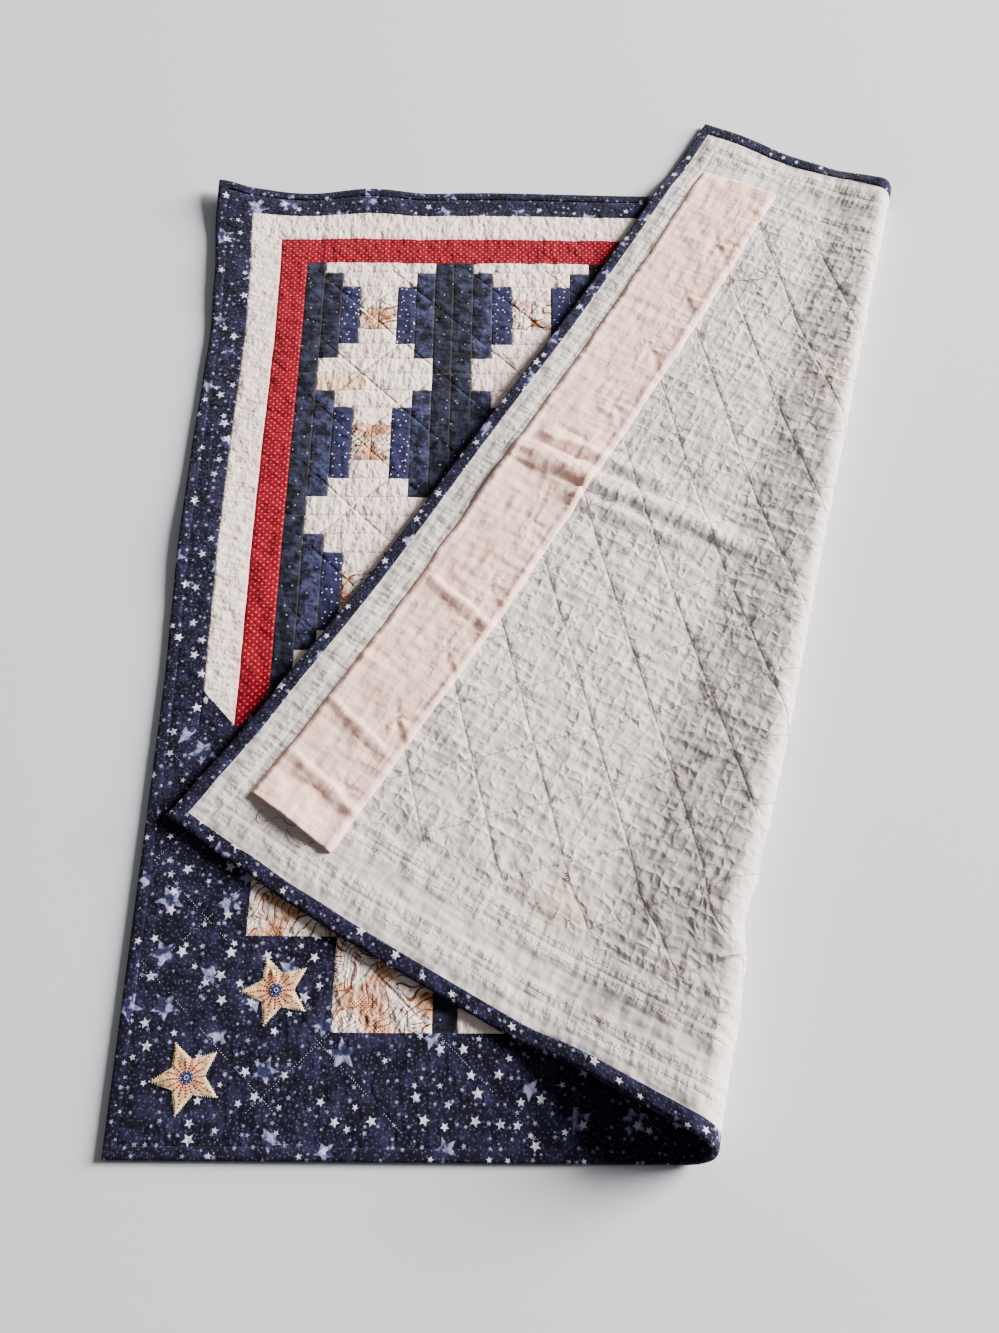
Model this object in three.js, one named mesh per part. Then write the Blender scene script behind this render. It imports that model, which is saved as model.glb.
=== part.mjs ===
// A square patchwork quilt, laid face up on a floor.
// Its right side is folded back over its left at a slant.
// Every piece is drawn flat first, on the open quilt.
// One function then carries each flat point to its folded place.
import * as THREE from 'three';

// Driving sizes in millimetres. One strip of the patchwork is one inch wide, and the layout is counted in strips.
const STRIP = 25.4;
const SIDE = 49.4 * STRIP;
const LOFT = 7;
const RIM_THICKNESS = 4;
const LAYER_GAP = 2;
const CLEARANCE = 0.3;

// Binding: a folded strip round the whole edge.
const BINDING = { thickness: 1.2, front: 11, back: 16 };

// Hanging sleeve on the back, a little askew, with its lower end standing open.
const SLEEVE = {
  thickness: 1.2, lowerLeft: [1198, 76], lowerRight: [1085, 66], upperLeft: [1206, 1168], upperRight: [1070, 1166],
  mouth: 4.5, mouthReach: 60,
};

// Cut-out stars on the front, with the turn of the first tip in degrees.
const STARS = [
  { name: 'applique_star_1', s: 155, t: 163, turn: 182 },
  { name: 'applique_star_2', s: 73, t: 76, turn: 186 },
];
const STAR = { tip: 37.5, notch: 17.5, points: 5, thickness: 1.1 };

// The fold: where its line crosses the lower edge, its slant, and how the upper layer comes down from the roll.
const FOLD = { start: 561, slant: 75.1, fall: 13, foot: 150, ease: 120, shiftEase: 80 };

// Along the fold, v is the distance from the lower edge.
// The table holds the roll's radius, and how far its line wanders outwards.
const ROLL = [
  { v: -120, radius: 28, wander: 0 },
  { v: 0, radius: 28, wander: -2 },
  { v: 130, radius: 20, wander: 3 },
  { v: 200, radius: 18.5, wander: 0 },
  { v: 245, radius: 18.5, wander: -10 },
  { v: 300, radius: 18, wander: -5 },
  { v: 400, radius: 17, wander: -1 },
  { v: 800, radius: 13.5, wander: 0 },
  { v: 1400, radius: 11.5, wander: 0 },
];

// Where the upper layer hangs past the lower one's top edge it comes down to the floor.
const OVERHANG = { start: 2, end: 50, drop: 8.6 };

// The upper layer is drawn in or out and slid along the fold a little: share of its width at its two ends.
const PULL = { inLow: 0.03, inHigh: -0.215, alongLow: 0.037, alongHigh: -0.076 };

// Unevenness of the edges, as distance along an edge and how far the edge stands out there.
const LEFT_EDGE = [
  { at: 0, out: 0 }, { at: 515, out: 0.8 }, { at: 600, out: -1.5 }, { at: 690, out: -3.5 }, { at: 820, out: -3 },
  { at: 940, out: 0 }, { at: 1008, out: 1.8 }, { at: 1100, out: -1.5 },
  { at: 1205, out: -9.5 }, { at: 1255, out: -10 },
];
const TOP_EDGE = [
  { at: 0, out: 14 }, { at: 43, out: 4 }, { at: 118, out: 0 }, { at: 197, out: 6 }, { at: 277, out: 1 },
  { at: 347, out: 3 }, { at: 590, out: -1.5 }, { at: 700, out: 0 },
];
const FLAP_EDGE = [
  { at: 560, out: 0 }, { at: 635, out: 2 }, { at: 760, out: 3.5 }, { at: 840, out: -4 }, { at: 1020, out: -5.5 },
  { at: 1100, out: -3.5 }, { at: 1160, out: 2 }, { at: 1255, out: 9 },
];
const EDGE_REACH = 220;

// Soft lifts of the cloth: flat place, reach and height.
const LIFTS = [
  { s: 0, t: 1255, reach: 60, rise: 11 },
  { s: 200, t: 1255, reach: 55, rise: 4 },
  { s: 0, t: 1120, reach: 70, rise: 3 },
  { s: 0, t: 700, reach: 80, rise: 3 },
  { s: 1255, t: 250, reach: 90, rise: 4 },
  { s: 1255, t: 700, reach: 110, rise: 4 },
  { s: 1000, t: 1255, reach: 70, rise: 6 },
  { s: 1180, t: 1255, reach: 60, rise: 4 },
  { s: 1090, t: 300, reach: 90, rise: 3 },
  { s: 960, t: 820, reach: 120, rise: 4 },
  { s: 1010, t: 1060, reach: 90, rise: 4 },
];

// Creases in the upper layer: the two ends on the flat quilt, height and half width of the ridge.
const CREASES = [
  { s1: 1222, t1: 626, s2: 785, t2: 641, rise: 7, width: 13 },
  { s1: 1120, t1: 596, s2: 870, t2: 612, rise: 4, width: 11 },
  { s1: 1190, t1: 657, s2: 950, t2: 672, rise: 4, width: 11 },
  { s1: 1195, t1: 412, s2: 1055, t2: 380, rise: 5, width: 12 },
  { s1: 1198, t1: 218, s2: 1088, t2: 188, rise: 4, width: 12 },
  { s1: 1200, t1: 142, s2: 1058, t2: 108, rise: 4, width: 12 },
];

// Shares of a crease's length where it is fully risen, and where it starts to die away.
const CREASE_ENDS = { start: 0.15, fall: 0.7 };

// Quilting: diamonds over the patchwork field, and rows beside the edges. Sewn lines are drawn down into the loft.
const QUILTING = { puff: 2, crown: 0.8, field: 5.3, pitch: 4, sum: 9.2, difference: -1.5 };
const BORDER_ROWS = [
  { inset: 16, sewn: 0.75 }, { inset: 37, sewn: 1 }, { inset: 54, sewn: 0.8 }, { inset: 75, sewn: 0 },
  { inset: 94, sewn: 1 }, { inset: 109, sewn: 0.8 }, { inset: 123, sewn: 0.2 },
];

// Steps of the mesh: along the edges, across and along the roll,
// along sewn rows, creases and the sleeve's outline.
const MESH = {
  edge: 50, rollStep: 10, rollAlong: 40, rollFrom: -10, rollTo: 105, row: 48, crease: 30, creaseSide: 1.25,
  outline: 26, keepApart: 13, keepApartRoll: 7, bow: 0.05, outside: 60,
};

// Middle of the folded quilt's outline on the floor, which becomes the part's origin.
const ORIGIN = { x: 450.2, y: 695.6 };

const slant = THREE.MathUtils.degToRad(FOLD.slant);
const across = new THREE.Vector2(Math.sin(slant), -Math.cos(slant));
const along = new THREE.Vector2(Math.cos(slant), Math.sin(slant));

// Value of a table's column at a place, with a soft change from row to row.
function read(table, key, place, column) {
  const last = table.length - 1;
  if (place <= table[0][key]) return table[0][column];
  if (place >= table[last][key]) return table[last][column];
  const i = table.findIndex((row) => row[key] > place) - 1;
  const share = (place - table[i][key]) / (table[i + 1][key] - table[i][key]);
  const soft = share * share * (3 - 2 * share);
  return table[i][column] + (table[i + 1][column] - table[i][column]) * soft;
}

// Soft bump: one at the middle, about a third at the reach, and nothing from the reach's edge outwards.
function bump(distance, reach) {
  const edge = 1.8 * reach;
  return Math.max(1 - (distance / edge) ** 2, 0) ** 3;
}

// Fade from one at zero to nothing at the reach.
function fade(distance, reach) {
  const rest = Math.max(1 - Math.max(distance, 0) / reach, 0);
  return rest * rest;
}

// Flat point in the fold's own directions, measured from the fold's start.
function toFold(s, t) {
  const ds = s - FOLD.start;
  return { u: ds * across.x + t * across.y, v: ds * along.x + t * along.y };
}

// Section across the fold: floor, roll, fall and foot, as the way out and the height at a length of cloth.
function section(length, radius) {
  const fall = THREE.MathUtils.degToRad(FOLD.fall);
  const floorMiddle = LOFT / 2;
  const restMiddle = floorMiddle + LOFT + LAYER_GAP;
  const rollLength = radius * (Math.PI + fall);
  const rollEndHeight = floorMiddle + radius * (1 + Math.cos(fall));
  const footDrop = FOLD.foot * (1 - Math.cos(fall));
  const fallLength = Math.max((rollEndHeight - restMiddle - footDrop) / Math.sin(fall), 0);
  const footLength = FOLD.foot * fall;
  const turn = THREE.MathUtils.clamp(length, 0, rollLength) / radius;
  const slope = THREE.MathUtils.clamp(length - rollLength, 0, fallLength);
  const bend = THREE.MathUtils.clamp(length - rollLength - fallLength, 0, footLength) / FOLD.foot;
  const level = Math.max(length - rollLength - fallLength - footLength, 0);
  const out = radius * Math.sin(turn) - slope * Math.cos(fall)
    - FOLD.foot * (Math.sin(fall) - Math.sin(fall - bend)) - level;
  const height = floorMiddle + radius * (1 - Math.cos(turn)) - slope * Math.sin(fall)
    - FOLD.foot * (Math.cos(fall - bend) - Math.cos(fall));
  return { out, height, rollLength };
}

// Height of the soft lifts and creases at a flat point.
function unevenness(s, t) {
  let rise = 0;
  for (const lift of LIFTS) {
    rise += lift.rise * bump(Math.hypot(s - lift.s, t - lift.t), lift.reach);
  }
  for (const crease of CREASES) {
    const run = new THREE.Vector2(crease.s2 - crease.s1, crease.t2 - crease.t1);
    const length = run.length();
    run.divideScalar(length);
    const place = (s - crease.s1) * run.x + (t - crease.t1) * run.y;
    const aside = (s - crease.s1) * run.y - (t - crease.t1) * run.x;
    const ends = THREE.MathUtils.smoothstep(place, 0, length * CREASE_ENDS.start)
      * (1 - THREE.MathUtils.smoothstep(place, length * CREASE_ENDS.fall, length));
    rise += crease.rise * ends * bump(aside, crease.width);
  }
  return rise;
}

// Middle of the sandwich at a flat point, in the folded quilt.
function middle(s, t) {
  const { u, v } = toFold(s, t);
  const wander = read(ROLL, 'v', v, 'wander');
  const length = Math.max(u - wander, 0);
  const { out, height, rollLength } = section(length, read(ROLL, 'v', v, 'radius'));
  const beyond = Math.max(length - rollLength, 0);
  const eased = beyond * beyond / (beyond + FOLD.ease);
  const share = v / SIDE;
  const inward = PULL.inLow * (1 - share) + PULL.inHigh * share;
  const slide = PULL.alongLow * (1 - share) + PULL.alongHigh * share;
  const rest = 2 * wander * beyond / (beyond + FOLD.shiftEase);
  const p = (length > 0 ? wander + out : u) - inward * eased - rest;
  const q = v + slide * eased;
  let x = FOLD.start + p * across.x + q * along.x;
  let y = p * across.y + q * along.y;
  const lying = length > 0 ? 0 : 1;
  x += read(LEFT_EDGE, 'at', t, 'out') * fade(s, EDGE_REACH);
  y += read(TOP_EDGE, 'at', s, 'out') * fade(SIDE - t, EDGE_REACH) * lying;
  y += read(FLAP_EDGE, 'at', s, 'out') * fade(t, EDGE_REACH) * (1 - lying);
  const pastTheTop = THREE.MathUtils.smoothstep(y, SIDE + OVERHANG.start, SIDE + OVERHANG.end);
  const overhang = length > rollLength ? pastTheTop : 0;
  const z = height + unevenness(s, t) - overhang * OVERHANG.drop;
  return new THREE.Vector3(x, y, z);
}

// Point of a face: the middle moved along the cloth's own upward direction.
function facePoint(s, t, lift) {
  const ds = middle(s + 1, t).sub(middle(s - 1, t));
  const dt = middle(s, t + 1).sub(middle(s, t - 1));
  return middle(s, t).addScaledVector(ds.cross(dt).normalize(), lift);
}

// How far a flat point is from the nearest line of a family: nothing on a line, one halfway between two.
function fromLine(value, offset) {
  const place = (value / STRIP - offset) / QUILTING.pitch;
  return Math.abs(place - Math.round(place)) * 2;
}

// Half thickness of the sandwich: thin in the binding, drawn down on sewn lines, full between them.
function halfThickness(s, t) {
  const inset = Math.min(s, t, SIDE - s, SIDE - t);
  if (inset < BORDER_ROWS[0].inset - 1) return RIM_THICKNESS / 2;
  let sewn = 0;
  if (inset >= QUILTING.field * STRIP - 1) {
    const nearest = Math.min(fromLine(s + t, QUILTING.sum), fromLine(s - t, QUILTING.difference));
    sewn = 1 - THREE.MathUtils.smoothstep(nearest, 0, QUILTING.crown);
  } else {
    sewn = read(BORDER_ROWS, 'inset', inset, 'sewn');
  }
  return LOFT / 2 - QUILTING.puff * sewn;
}

// The underside stays flat where the quilt lies on the floor.
function backLift(s, t) {
  const lying = toFold(s, t).u < 0;
  return lying && Math.min(s, t, SIDE - s, SIDE - t) > BINDING.back ? LOFT / 2 : halfThickness(s, t);
}

// Stations along an edge of the open quilt: even steps, and finer ones where the edge runs round the roll.
function stations(rollAt) {
  const rim = BINDING.thickness + CLEARANCE;
  const length = SIDE - 2 * rim;
  const steps = Math.round(length / MESH.edge);
  const even = Array.from({ length: steps + 1 }, (_, i) => rim + length * i / steps);
  if (rollAt === null) return even;
  const step = MESH.rollStep / across.x;
  const from = rollAt + MESH.rollFrom / across.x;
  const to = rollAt + MESH.rollTo / across.x;
  const fine = Array.from({ length: Math.round((to - from) / step) + 1 }, (_, i) => from + i * step);
  return even.filter((place) => place < from - step || place > to + step).concat(fine).sort((a, b) => a - b);
}

// The quilt's outline as a loop of flat points at an inset, with the same stations on every inset.
function rimLoop(inset) {
  const rim = BINDING.thickness + CLEARANCE;
  const shrink = (place) => inset + (place - rim) * (SIDE - 2 * inset) / (SIDE - 2 * rim);
  const low = stations(FOLD.start).map(shrink);
  const high = stations(FOLD.start + SIDE / Math.tan(slant)).map(shrink);
  const upright = stations(null).map(shrink);
  return [
    ...low.slice(0, -1).map((s) => [s, inset]),
    ...upright.slice(0, -1).map((t) => [SIDE - inset, t]),
    ...high.slice(1).reverse().map((s) => [s, SIDE - inset]),
    ...upright.slice(1).reverse().map((t) => [inset, t]),
  ];
}

// Evenly spaced flat points from one place to another, without the last.
function run([s1, t1], [s2, t2], step) {
  const count = Math.max(Math.round(Math.hypot(s2 - s1, t2 - t1) / step), 1);
  return Array.from({ length: count }, (_, i) => [s1 + (s2 - s1) * i / count, t1 + (t2 - t1) * i / count]);
}

function sleeveOutline() {
  const corners = [SLEEVE.lowerRight, SLEEVE.lowerLeft, SLEEVE.upperLeft, SLEEVE.upperRight];
  return corners.flatMap((corner, i) => run(corner, corners[(i + 1) % corners.length], MESH.outline));
}

function creasePoints() {
  return CREASES.flatMap((crease) => {
    const length = Math.hypot(crease.s2 - crease.s1, crease.t2 - crease.t1);
    const side = MESH.creaseSide * crease.width / length;
    const ds = (crease.t2 - crease.t1) * side;
    const dt = (crease.s2 - crease.s1) * side;
    return [0, 1, -1].flatMap((k) => run(
      [crease.s1 + k * ds, crease.t1 - k * dt], [crease.s2 + k * ds, crease.t2 - k * dt], MESH.crease,
    ));
  });
}

function rollPoints() {
  const points = [];
  for (let u = MESH.rollFrom; u <= MESH.rollTo; u += MESH.rollStep) {
    for (let v = 0; v < SIDE / across.x + MESH.rollTo; v += MESH.rollAlong) {
      points.push([FOLD.start + u * across.x + v * along.x, u * across.y + v * along.y]);
    }
  }
  return points;
}

function rowPoints() {
  return BORDER_ROWS.slice(1).flatMap(({ inset }) => {
    const far = SIDE - inset;
    const corners = [[inset, inset], [far, inset], [far, far], [inset, far]];
    return corners.flatMap((corner, i) => run(corner, corners[(i + 1) % corners.length], MESH.row));
  });
}

// Points of the diamonds: on the sewn lines and halfway between them.
function diamondPoints() {
  const half = QUILTING.pitch / 2;
  const count = Math.ceil(SIDE / STRIP);
  const points = [];
  for (let i = -count; i <= count; i += 1) {
    for (let j = -count; j <= count; j += 1) {
      const sum = QUILTING.sum + half * i;
      const difference = QUILTING.difference + half * j;
      points.push([(sum + difference) / 2 * STRIP, (sum - difference) / 2 * STRIP]);
    }
  }
  return points;
}

const insetOf = ([s, t]) => Math.min(s, t, SIDE - s, SIDE - t);
const inRoll = ([s, t]) => {
  const { u } = toFold(s, t);
  return u > MESH.rollFrom - MESH.rollStep && u < MESH.rollTo + MESH.rollStep;
};

// All flat points inside the binding, each kept apart from those before it.
function clothPoints() {
  const points = rimLoop(BINDING.back);
  const add = (candidates, apart, allowed) => {
    for (const point of candidates) {
      const clear = points.every(([s, t]) => Math.hypot(point[0] - s, point[1] - t) >= apart);
      if (allowed(point) && clear) points.push(point);
    }
  };
  const inside = (point) => insetOf(point) > BINDING.back + MESH.keepApartRoll;
  const field = QUILTING.field * STRIP;
  add(sleeveOutline(), 1, () => true);
  add(creasePoints(), MESH.keepApart, (point) => inside(point) && !inRoll(point));
  add(rollPoints(), MESH.keepApartRoll, inside);
  add(rowPoints(), MESH.keepApart, (point) => !inRoll(point));
  add(diamondPoints(), MESH.keepApart, (point) => insetOf(point) > field - 1 && !inRoll(point));
  return points;
}

// Circle through three points.
function circleThrough(p, q, r) {
  const [pp, qq, rr] = [p, q, r].map(([x, y]) => x * x + y * y);
  const d = 2 * (p[0] * (q[1] - r[1]) + q[0] * (r[1] - p[1]) + r[0] * (p[1] - q[1]));
  const x = (pp * (q[1] - r[1]) + qq * (r[1] - p[1]) + rr * (p[1] - q[1])) / d;
  const y = (pp * (r[0] - q[0]) + qq * (p[0] - r[0]) + rr * (q[0] - p[0])) / d;
  return { x, y, square: (p[0] - x) ** 2 + (p[1] - y) ** 2 };
}

const edgesOf = ([a, b, c]) => [[a, b], [b, c], [c, a]];
const openEdges = (triangles) => {
  const edges = triangles.flatMap(edgesOf);
  const known = new Set(edges.map(([a, b]) => `${a}_${b}`));
  return edges.filter(([a, b]) => !known.has(`${b}_${a}`));
};

// Triangles over flat points, adding one point at a time.
// The square is bowed a little, so that its sides are convex.
function triangulate(points) {
  const half = SIDE / 2;
  const far = MESH.outside;
  const bowed = points.map(([s, t]) => {
    const [a, b] = [(s - half) / half, (t - half) / half];
    return [a * (1 + MESH.bow * (1 - b * b)), b * (1 + MESH.bow * (1 - a * a))];
  });
  bowed.push([-far, -far], [far, -far], [0, far]);
  const count = points.length;
  const make = (corners) => ({ corners, circle: circleThrough(...corners.map((i) => bowed[i])) });
  let found = [make([count, count + 1, count + 2])];
  for (let i = 0; i < count; i += 1) {
    const [x, y] = bowed[i];
    const holds = ({ circle }) => (x - circle.x) ** 2 + (y - circle.y) ** 2 < circle.square;
    const opened = found.filter(holds).map(({ corners }) => corners);
    const added = openEdges(opened).map(([a, b]) => make([a, b, i]));
    found = found.filter((triangle) => !holds(triangle)).concat(added);
  }
  return found.map(({ corners }) => corners).filter((corners) => corners.every((i) => i < count));
}

// Triangles of a strip between two loops of flat points, the outer one first, always split the same way.
function strip(outer, inner, count) {
  return Array.from({ length: count }, (_, i) => {
    const next = (i + 1) % count;
    return [[outer + i, outer + next, inner + next], [outer + i, inner + next, inner + i]];
  }).flat();
}

// A closed solid from vertices and triangles, turned so that its faces point outwards.
function solid(name, vertices, triangles, material) {
  let volume = 0;
  for (const [a, b, c] of triangles) {
    volume += vertices[a].dot(new THREE.Vector3().crossVectors(vertices[b], vertices[c]));
  }
  const turned = volume < 0 ? triangles.map(([a, b, c]) => [a, c, b]) : triangles;
  const geometry = new THREE.BufferGeometry();
  geometry.setAttribute('position', new THREE.Float32BufferAttribute(vertices.flatMap((v) => v.toArray()), 3));
  geometry.setIndex(turned.flat());
  geometry.computeVertexNormals();
  const cloth = new THREE.MeshStandardMaterial({ metalness: 0, roughness: 0.9, ...material });
  const mesh = new THREE.Mesh(geometry, cloth);
  mesh.name = name;
  return mesh;
}

// A sheet of cloth over flat triangles: one face at each lift, and walls round every free edge.
function sheet(name, points, triangles, upper, lower, material) {
  const count = points.length;
  const vertices = [
    ...points.map(([s, t]) => facePoint(s, t, upper(s, t))),
    ...points.map(([s, t]) => facePoint(s, t, lower(s, t))),
  ];
  const walls = openEdges(triangles).flatMap(([a, b]) => [[b, a, a + count], [b, a + count, b + count]]);
  const under = triangles.map(([a, b, c]) => [a + count, c + count, b + count]);
  return solid(name, vertices, [...triangles, ...under, ...walls], material);
}

// The quilted sandwich and the flat mesh that it shares with the sleeve.
const innerPoints = clothPoints();
const innerTriangles = triangulate(innerPoints);

function makeQuilt() {
  const rim = rimLoop(BINDING.thickness + CLEARANCE);
  const ledge = rimLoop(BINDING.front);
  const count = rim.length;
  const shifted = innerTriangles.map((corners) => corners.map((i) => i + 2 * count));
  const triangles = [...strip(0, count, count), ...strip(count, 2 * count, count), ...shifted];
  return sheet(
    'quilt', [...rim, ...ledge, ...innerPoints], triangles,
    (s, t) => halfThickness(s, t), (s, t) => -backLift(s, t), { color: '#d9d4cd' },
  );
}

// The binding's section, from the end of its back leg round the edge to the end of its front leg and back inside.
function makeBinding() {
  const inside = RIM_THICKNESS / 2 + CLEARANCE;
  const outside = inside + BINDING.thickness;
  const profile = [
    [BINDING.back, -outside], [BINDING.front, -outside], [BINDING.thickness / 2, -outside], [0, 0],
    [BINDING.thickness / 2, outside], [BINDING.front, outside], [BINDING.front, inside],
    [BINDING.thickness, inside], [BINDING.thickness, -inside], [BINDING.front, -inside], [BINDING.back, -inside],
  ];
  const count = rimLoop(0).length;
  const vertices = profile.flatMap(([inset, lift]) => rimLoop(inset).map(([s, t]) => facePoint(s, t, lift)));
  const triangles = profile.flatMap(([inset], k) => {
    const next = (k + 1) % profile.length;
    const inward = inset <= profile[next][0];
    const faces = inward ? strip(k * count, next * count, count) : strip(next * count, k * count, count);
    return inward ? faces : faces.map(([a, b, c]) => [a, c, b]);
  });
  return solid('binding', vertices, triangles, { color: '#211f3d' });
}

// The hanging sleeve lies on the quilt's own mesh, a little off the back.
// It lifts to an open mouth at its lower end.
function makeSleeve() {
  const corners = [SLEEVE.lowerRight, SLEEVE.lowerLeft, SLEEVE.upperLeft, SLEEVE.upperRight];
  const within = (s, t) => corners.every(([s1, t1], i) => {
    const [s2, t2] = corners[(i + 1) % corners.length];
    return (s2 - s1) * (t - t1) - (t2 - t1) * (s - s1) > 0;
  });
  const kept = innerTriangles.filter((triangle) => {
    const centre = [0, 1].map((k) => triangle.reduce((sum, i) => sum + innerPoints[i][k], 0) / triangle.length);
    return within(...centre);
  });
  const used = [...new Set(kept.flat())];
  const points = used.map((i) => innerPoints[i]);
  const triangles = kept.map((triangle) => triangle.map((i) => used.indexOf(i)));
  const rise = (s, t) => {
    const sideways = Math.abs((s - SLEEVE.lowerRight[0]) / (SLEEVE.lowerLeft[0] - SLEEVE.lowerRight[0]) - 0.5) * 2;
    const open = SLEEVE.mouth * fade(t - SLEEVE.lowerLeft[1], SLEEVE.mouthReach);
    return LOFT / 2 + CLEARANCE + open * Math.max(1 - sideways ** 2, 0);
  };
  return sheet(
    'hanging_sleeve', points, triangles,
    (s, t) => -rise(s, t), (s, t) => -rise(s, t) - SLEEVE.thickness, { color: '#eadacf' },
  );
}

function makeStar({ name, s, t, turn }) {
  const outline = Array.from({ length: STAR.points * 2 }, (_, i) => {
    const angle = THREE.MathUtils.degToRad(turn) + Math.PI * i / STAR.points;
    const radius = i % 2 ? STAR.notch : STAR.tip;
    return new THREE.Vector2(radius * Math.cos(angle), radius * Math.sin(angle));
  });
  const plate = { depth: STAR.thickness, bevelEnabled: false };
  const geometry = new THREE.ExtrudeGeometry(new THREE.Shape(outline), plate);
  const material = new THREE.MeshStandardMaterial({ color: '#d9bc86', metalness: 0, roughness: 0.9 });
  const star = new THREE.Mesh(geometry, material);
  star.name = name;
  star.position.copy(middle(s, t)).setZ(LOFT + CLEARANCE);
  return star;
}

const quilt = new THREE.Group();
quilt.add(makeQuilt(), makeBinding(), makeSleeve(), ...STARS.map(makeStar));
quilt.position.set(-ORIGIN.x, -ORIGIN.y, 0);

export default quilt;
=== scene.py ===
# A square patchwork quilt lying face up on a pale floor, its right side folded back slantwise over its left.
# Every piece is drawn flat first, on the open quilt, and middle() then carries its points to the folded one.
import math

import bmesh
import bpy
import numpy as np
from mathutils import Matrix, Vector


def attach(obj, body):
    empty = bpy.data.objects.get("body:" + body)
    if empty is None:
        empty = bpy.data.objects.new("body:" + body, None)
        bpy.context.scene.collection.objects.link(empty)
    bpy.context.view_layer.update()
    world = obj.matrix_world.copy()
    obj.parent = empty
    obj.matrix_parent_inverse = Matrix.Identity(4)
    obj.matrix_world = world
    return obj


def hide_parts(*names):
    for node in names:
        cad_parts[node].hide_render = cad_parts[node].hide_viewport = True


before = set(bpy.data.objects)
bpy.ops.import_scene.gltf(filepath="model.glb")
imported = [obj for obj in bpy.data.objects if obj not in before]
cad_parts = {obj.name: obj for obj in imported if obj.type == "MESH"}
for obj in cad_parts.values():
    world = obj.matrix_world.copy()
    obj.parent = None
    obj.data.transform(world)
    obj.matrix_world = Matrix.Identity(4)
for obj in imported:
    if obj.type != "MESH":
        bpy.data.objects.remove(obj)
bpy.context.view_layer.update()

# Driving sizes in metres. One strip of the patchwork is one inch wide, and the layout is counted in strips.
MM = 0.001
STRIP = 25.4 * MM
SIDE = 49.4 * STRIP
LOFT = 7 * MM
RIM_THICKNESS = 4 * MM
LAYER_GAP = 2 * MM
# Distance of a face from the middle of the sandwich: the least, and that of a shell's hidden side.
LEAST_LIFT, HIDDEN_LIFT = 1.3 * MM, 0.4 * MM
BINDING = {"front": 11 * MM, "back": 16 * MM}
ORIGIN = (450.2 * MM, 695.6 * MM)
# A distance that stands for no seam or line being near.
FAR = 1.0

# The fold: where its line crosses the lower edge, its slant, and how the upper layer comes down from it.
FOLD = {"start": 561 * MM, "slant": math.radians(75.1), "fall": math.radians(13), "foot": 150 * MM,
        "ease": 120 * MM, "wander_ease": 80 * MM}
ACROSS = (math.sin(FOLD["slant"]), -math.cos(FOLD["slant"]))
ALONG = (math.cos(FOLD["slant"]), math.sin(FOLD["slant"]))

# Distance along the fold, radius of the roll, and how far its line wanders outwards.
ROLL = np.array([(-120, 28, 0), (0, 28, -2), (130, 20, 3), (200, 18.5, 0), (245, 18.5, -10), (300, 18, -5),
                 (400, 17, -1), (800, 13.5, 0), (1400, 11.5, 0)]) * MM
RADIUS, WANDER = 1, 2
# Share by which the upper layer is drawn in, and slid along the fold, at its two ends.
PULL = {"in_low": 0.03, "in_high": -0.215, "along_low": 0.037, "along_high": -0.076}
OVERHANG = {"start": 2 * MM, "end": 50 * MM, "drop": 8.6 * MM}

# Unevenness of the edges: distance along the edge, and how far it stands out there.
LEFT_EDGE = np.array([(0, 0), (515, 0.8), (600, -1.5), (690, -3.5), (820, -3), (940, 0), (1008, 1.8),
                      (1100, -1.5), (1205, -9.5), (1255, -10)]) * MM
TOP_EDGE = np.array([(0, 14), (43, 4), (118, 0), (197, 6), (277, 1), (347, 3), (590, -1.5), (700, 0)]) * MM
FLAP_EDGE = np.array([(560, 0), (635, 2), (760, 3.5), (840, -4), (1020, -5.5), (1100, -3.5), (1160, 2),
                      (1255, 9)]) * MM
EDGE_REACH = 220 * MM

# Soft lifts of the cloth: flat place, reach and height.
LIFTS = np.array([(0, 1255, 60, 11), (200, 1255, 55, 4), (0, 1120, 70, 3), (0, 700, 80, 3),
                  (1255, 250, 90, 4), (1255, 700, 110, 4), (1000, 1255, 70, 6), (1180, 1255, 60, 4),
                  (1090, 300, 90, 3), (960, 820, 120, 4), (1010, 1060, 90, 4)]) * MM
# Creases in the upper layer: the two ends on the flat quilt, height and half width of the ridge.
CREASES = np.array([(1222, 626, 785, 641, 7, 13), (1120, 596, 870, 612, 4, 11),
                    (1190, 657, 950, 672, 4, 11), (1195, 412, 1055, 380, 3, 7),
                    (1198, 218, 1088, 188, 2, 6), (1200, 142, 1058, 108, 2, 6)]) * MM
CREASE_ENDS = {"start": 0.15, "fall": 0.7}

# Quilting: diamonds over the patchwork field, counted in strips, and rows beside the edges.
QUILTING = {"field": 5.3, "pitch": 4, "sum": 9.2, "difference": -1.5}
BORDER_ROWS = [37 * MM, 54 * MM, 94 * MM, 109 * MM, 135 * MM]

# Seams of the pieced front, in strips: of the borders from the left and top edges, and of the blocks from the
# left and the lower edge. A block is eight logs wide and high, and the top row of logs is trimmed.
SEAMS_LEFT = (1.75, 3.3, 4.7)
SEAMS_TOP = (1.62, 3.26, 4.88)
BLOCK_COLUMNS = (4.7, 12.4, 20.46, 28.52, 36.58, 44.65)
BLOCK_ROWS = (4.78, 12.5, 20.7, 28.91, 37.33, 44.81)
FIELD_LEFT, FIELD_LOW = BLOCK_COLUMNS[0], BLOCK_ROWS[0]
FIELD_TOP = SIDE / STRIP - SEAMS_TOP[2]
BLOCK, BLOCKS = 8, 5
FOUR_PATCH = (8.4, 8.6)
PENCIL_POINT = ((3.45, 17.85), (1.75, 19.7), (4.7, 19.4))


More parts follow.
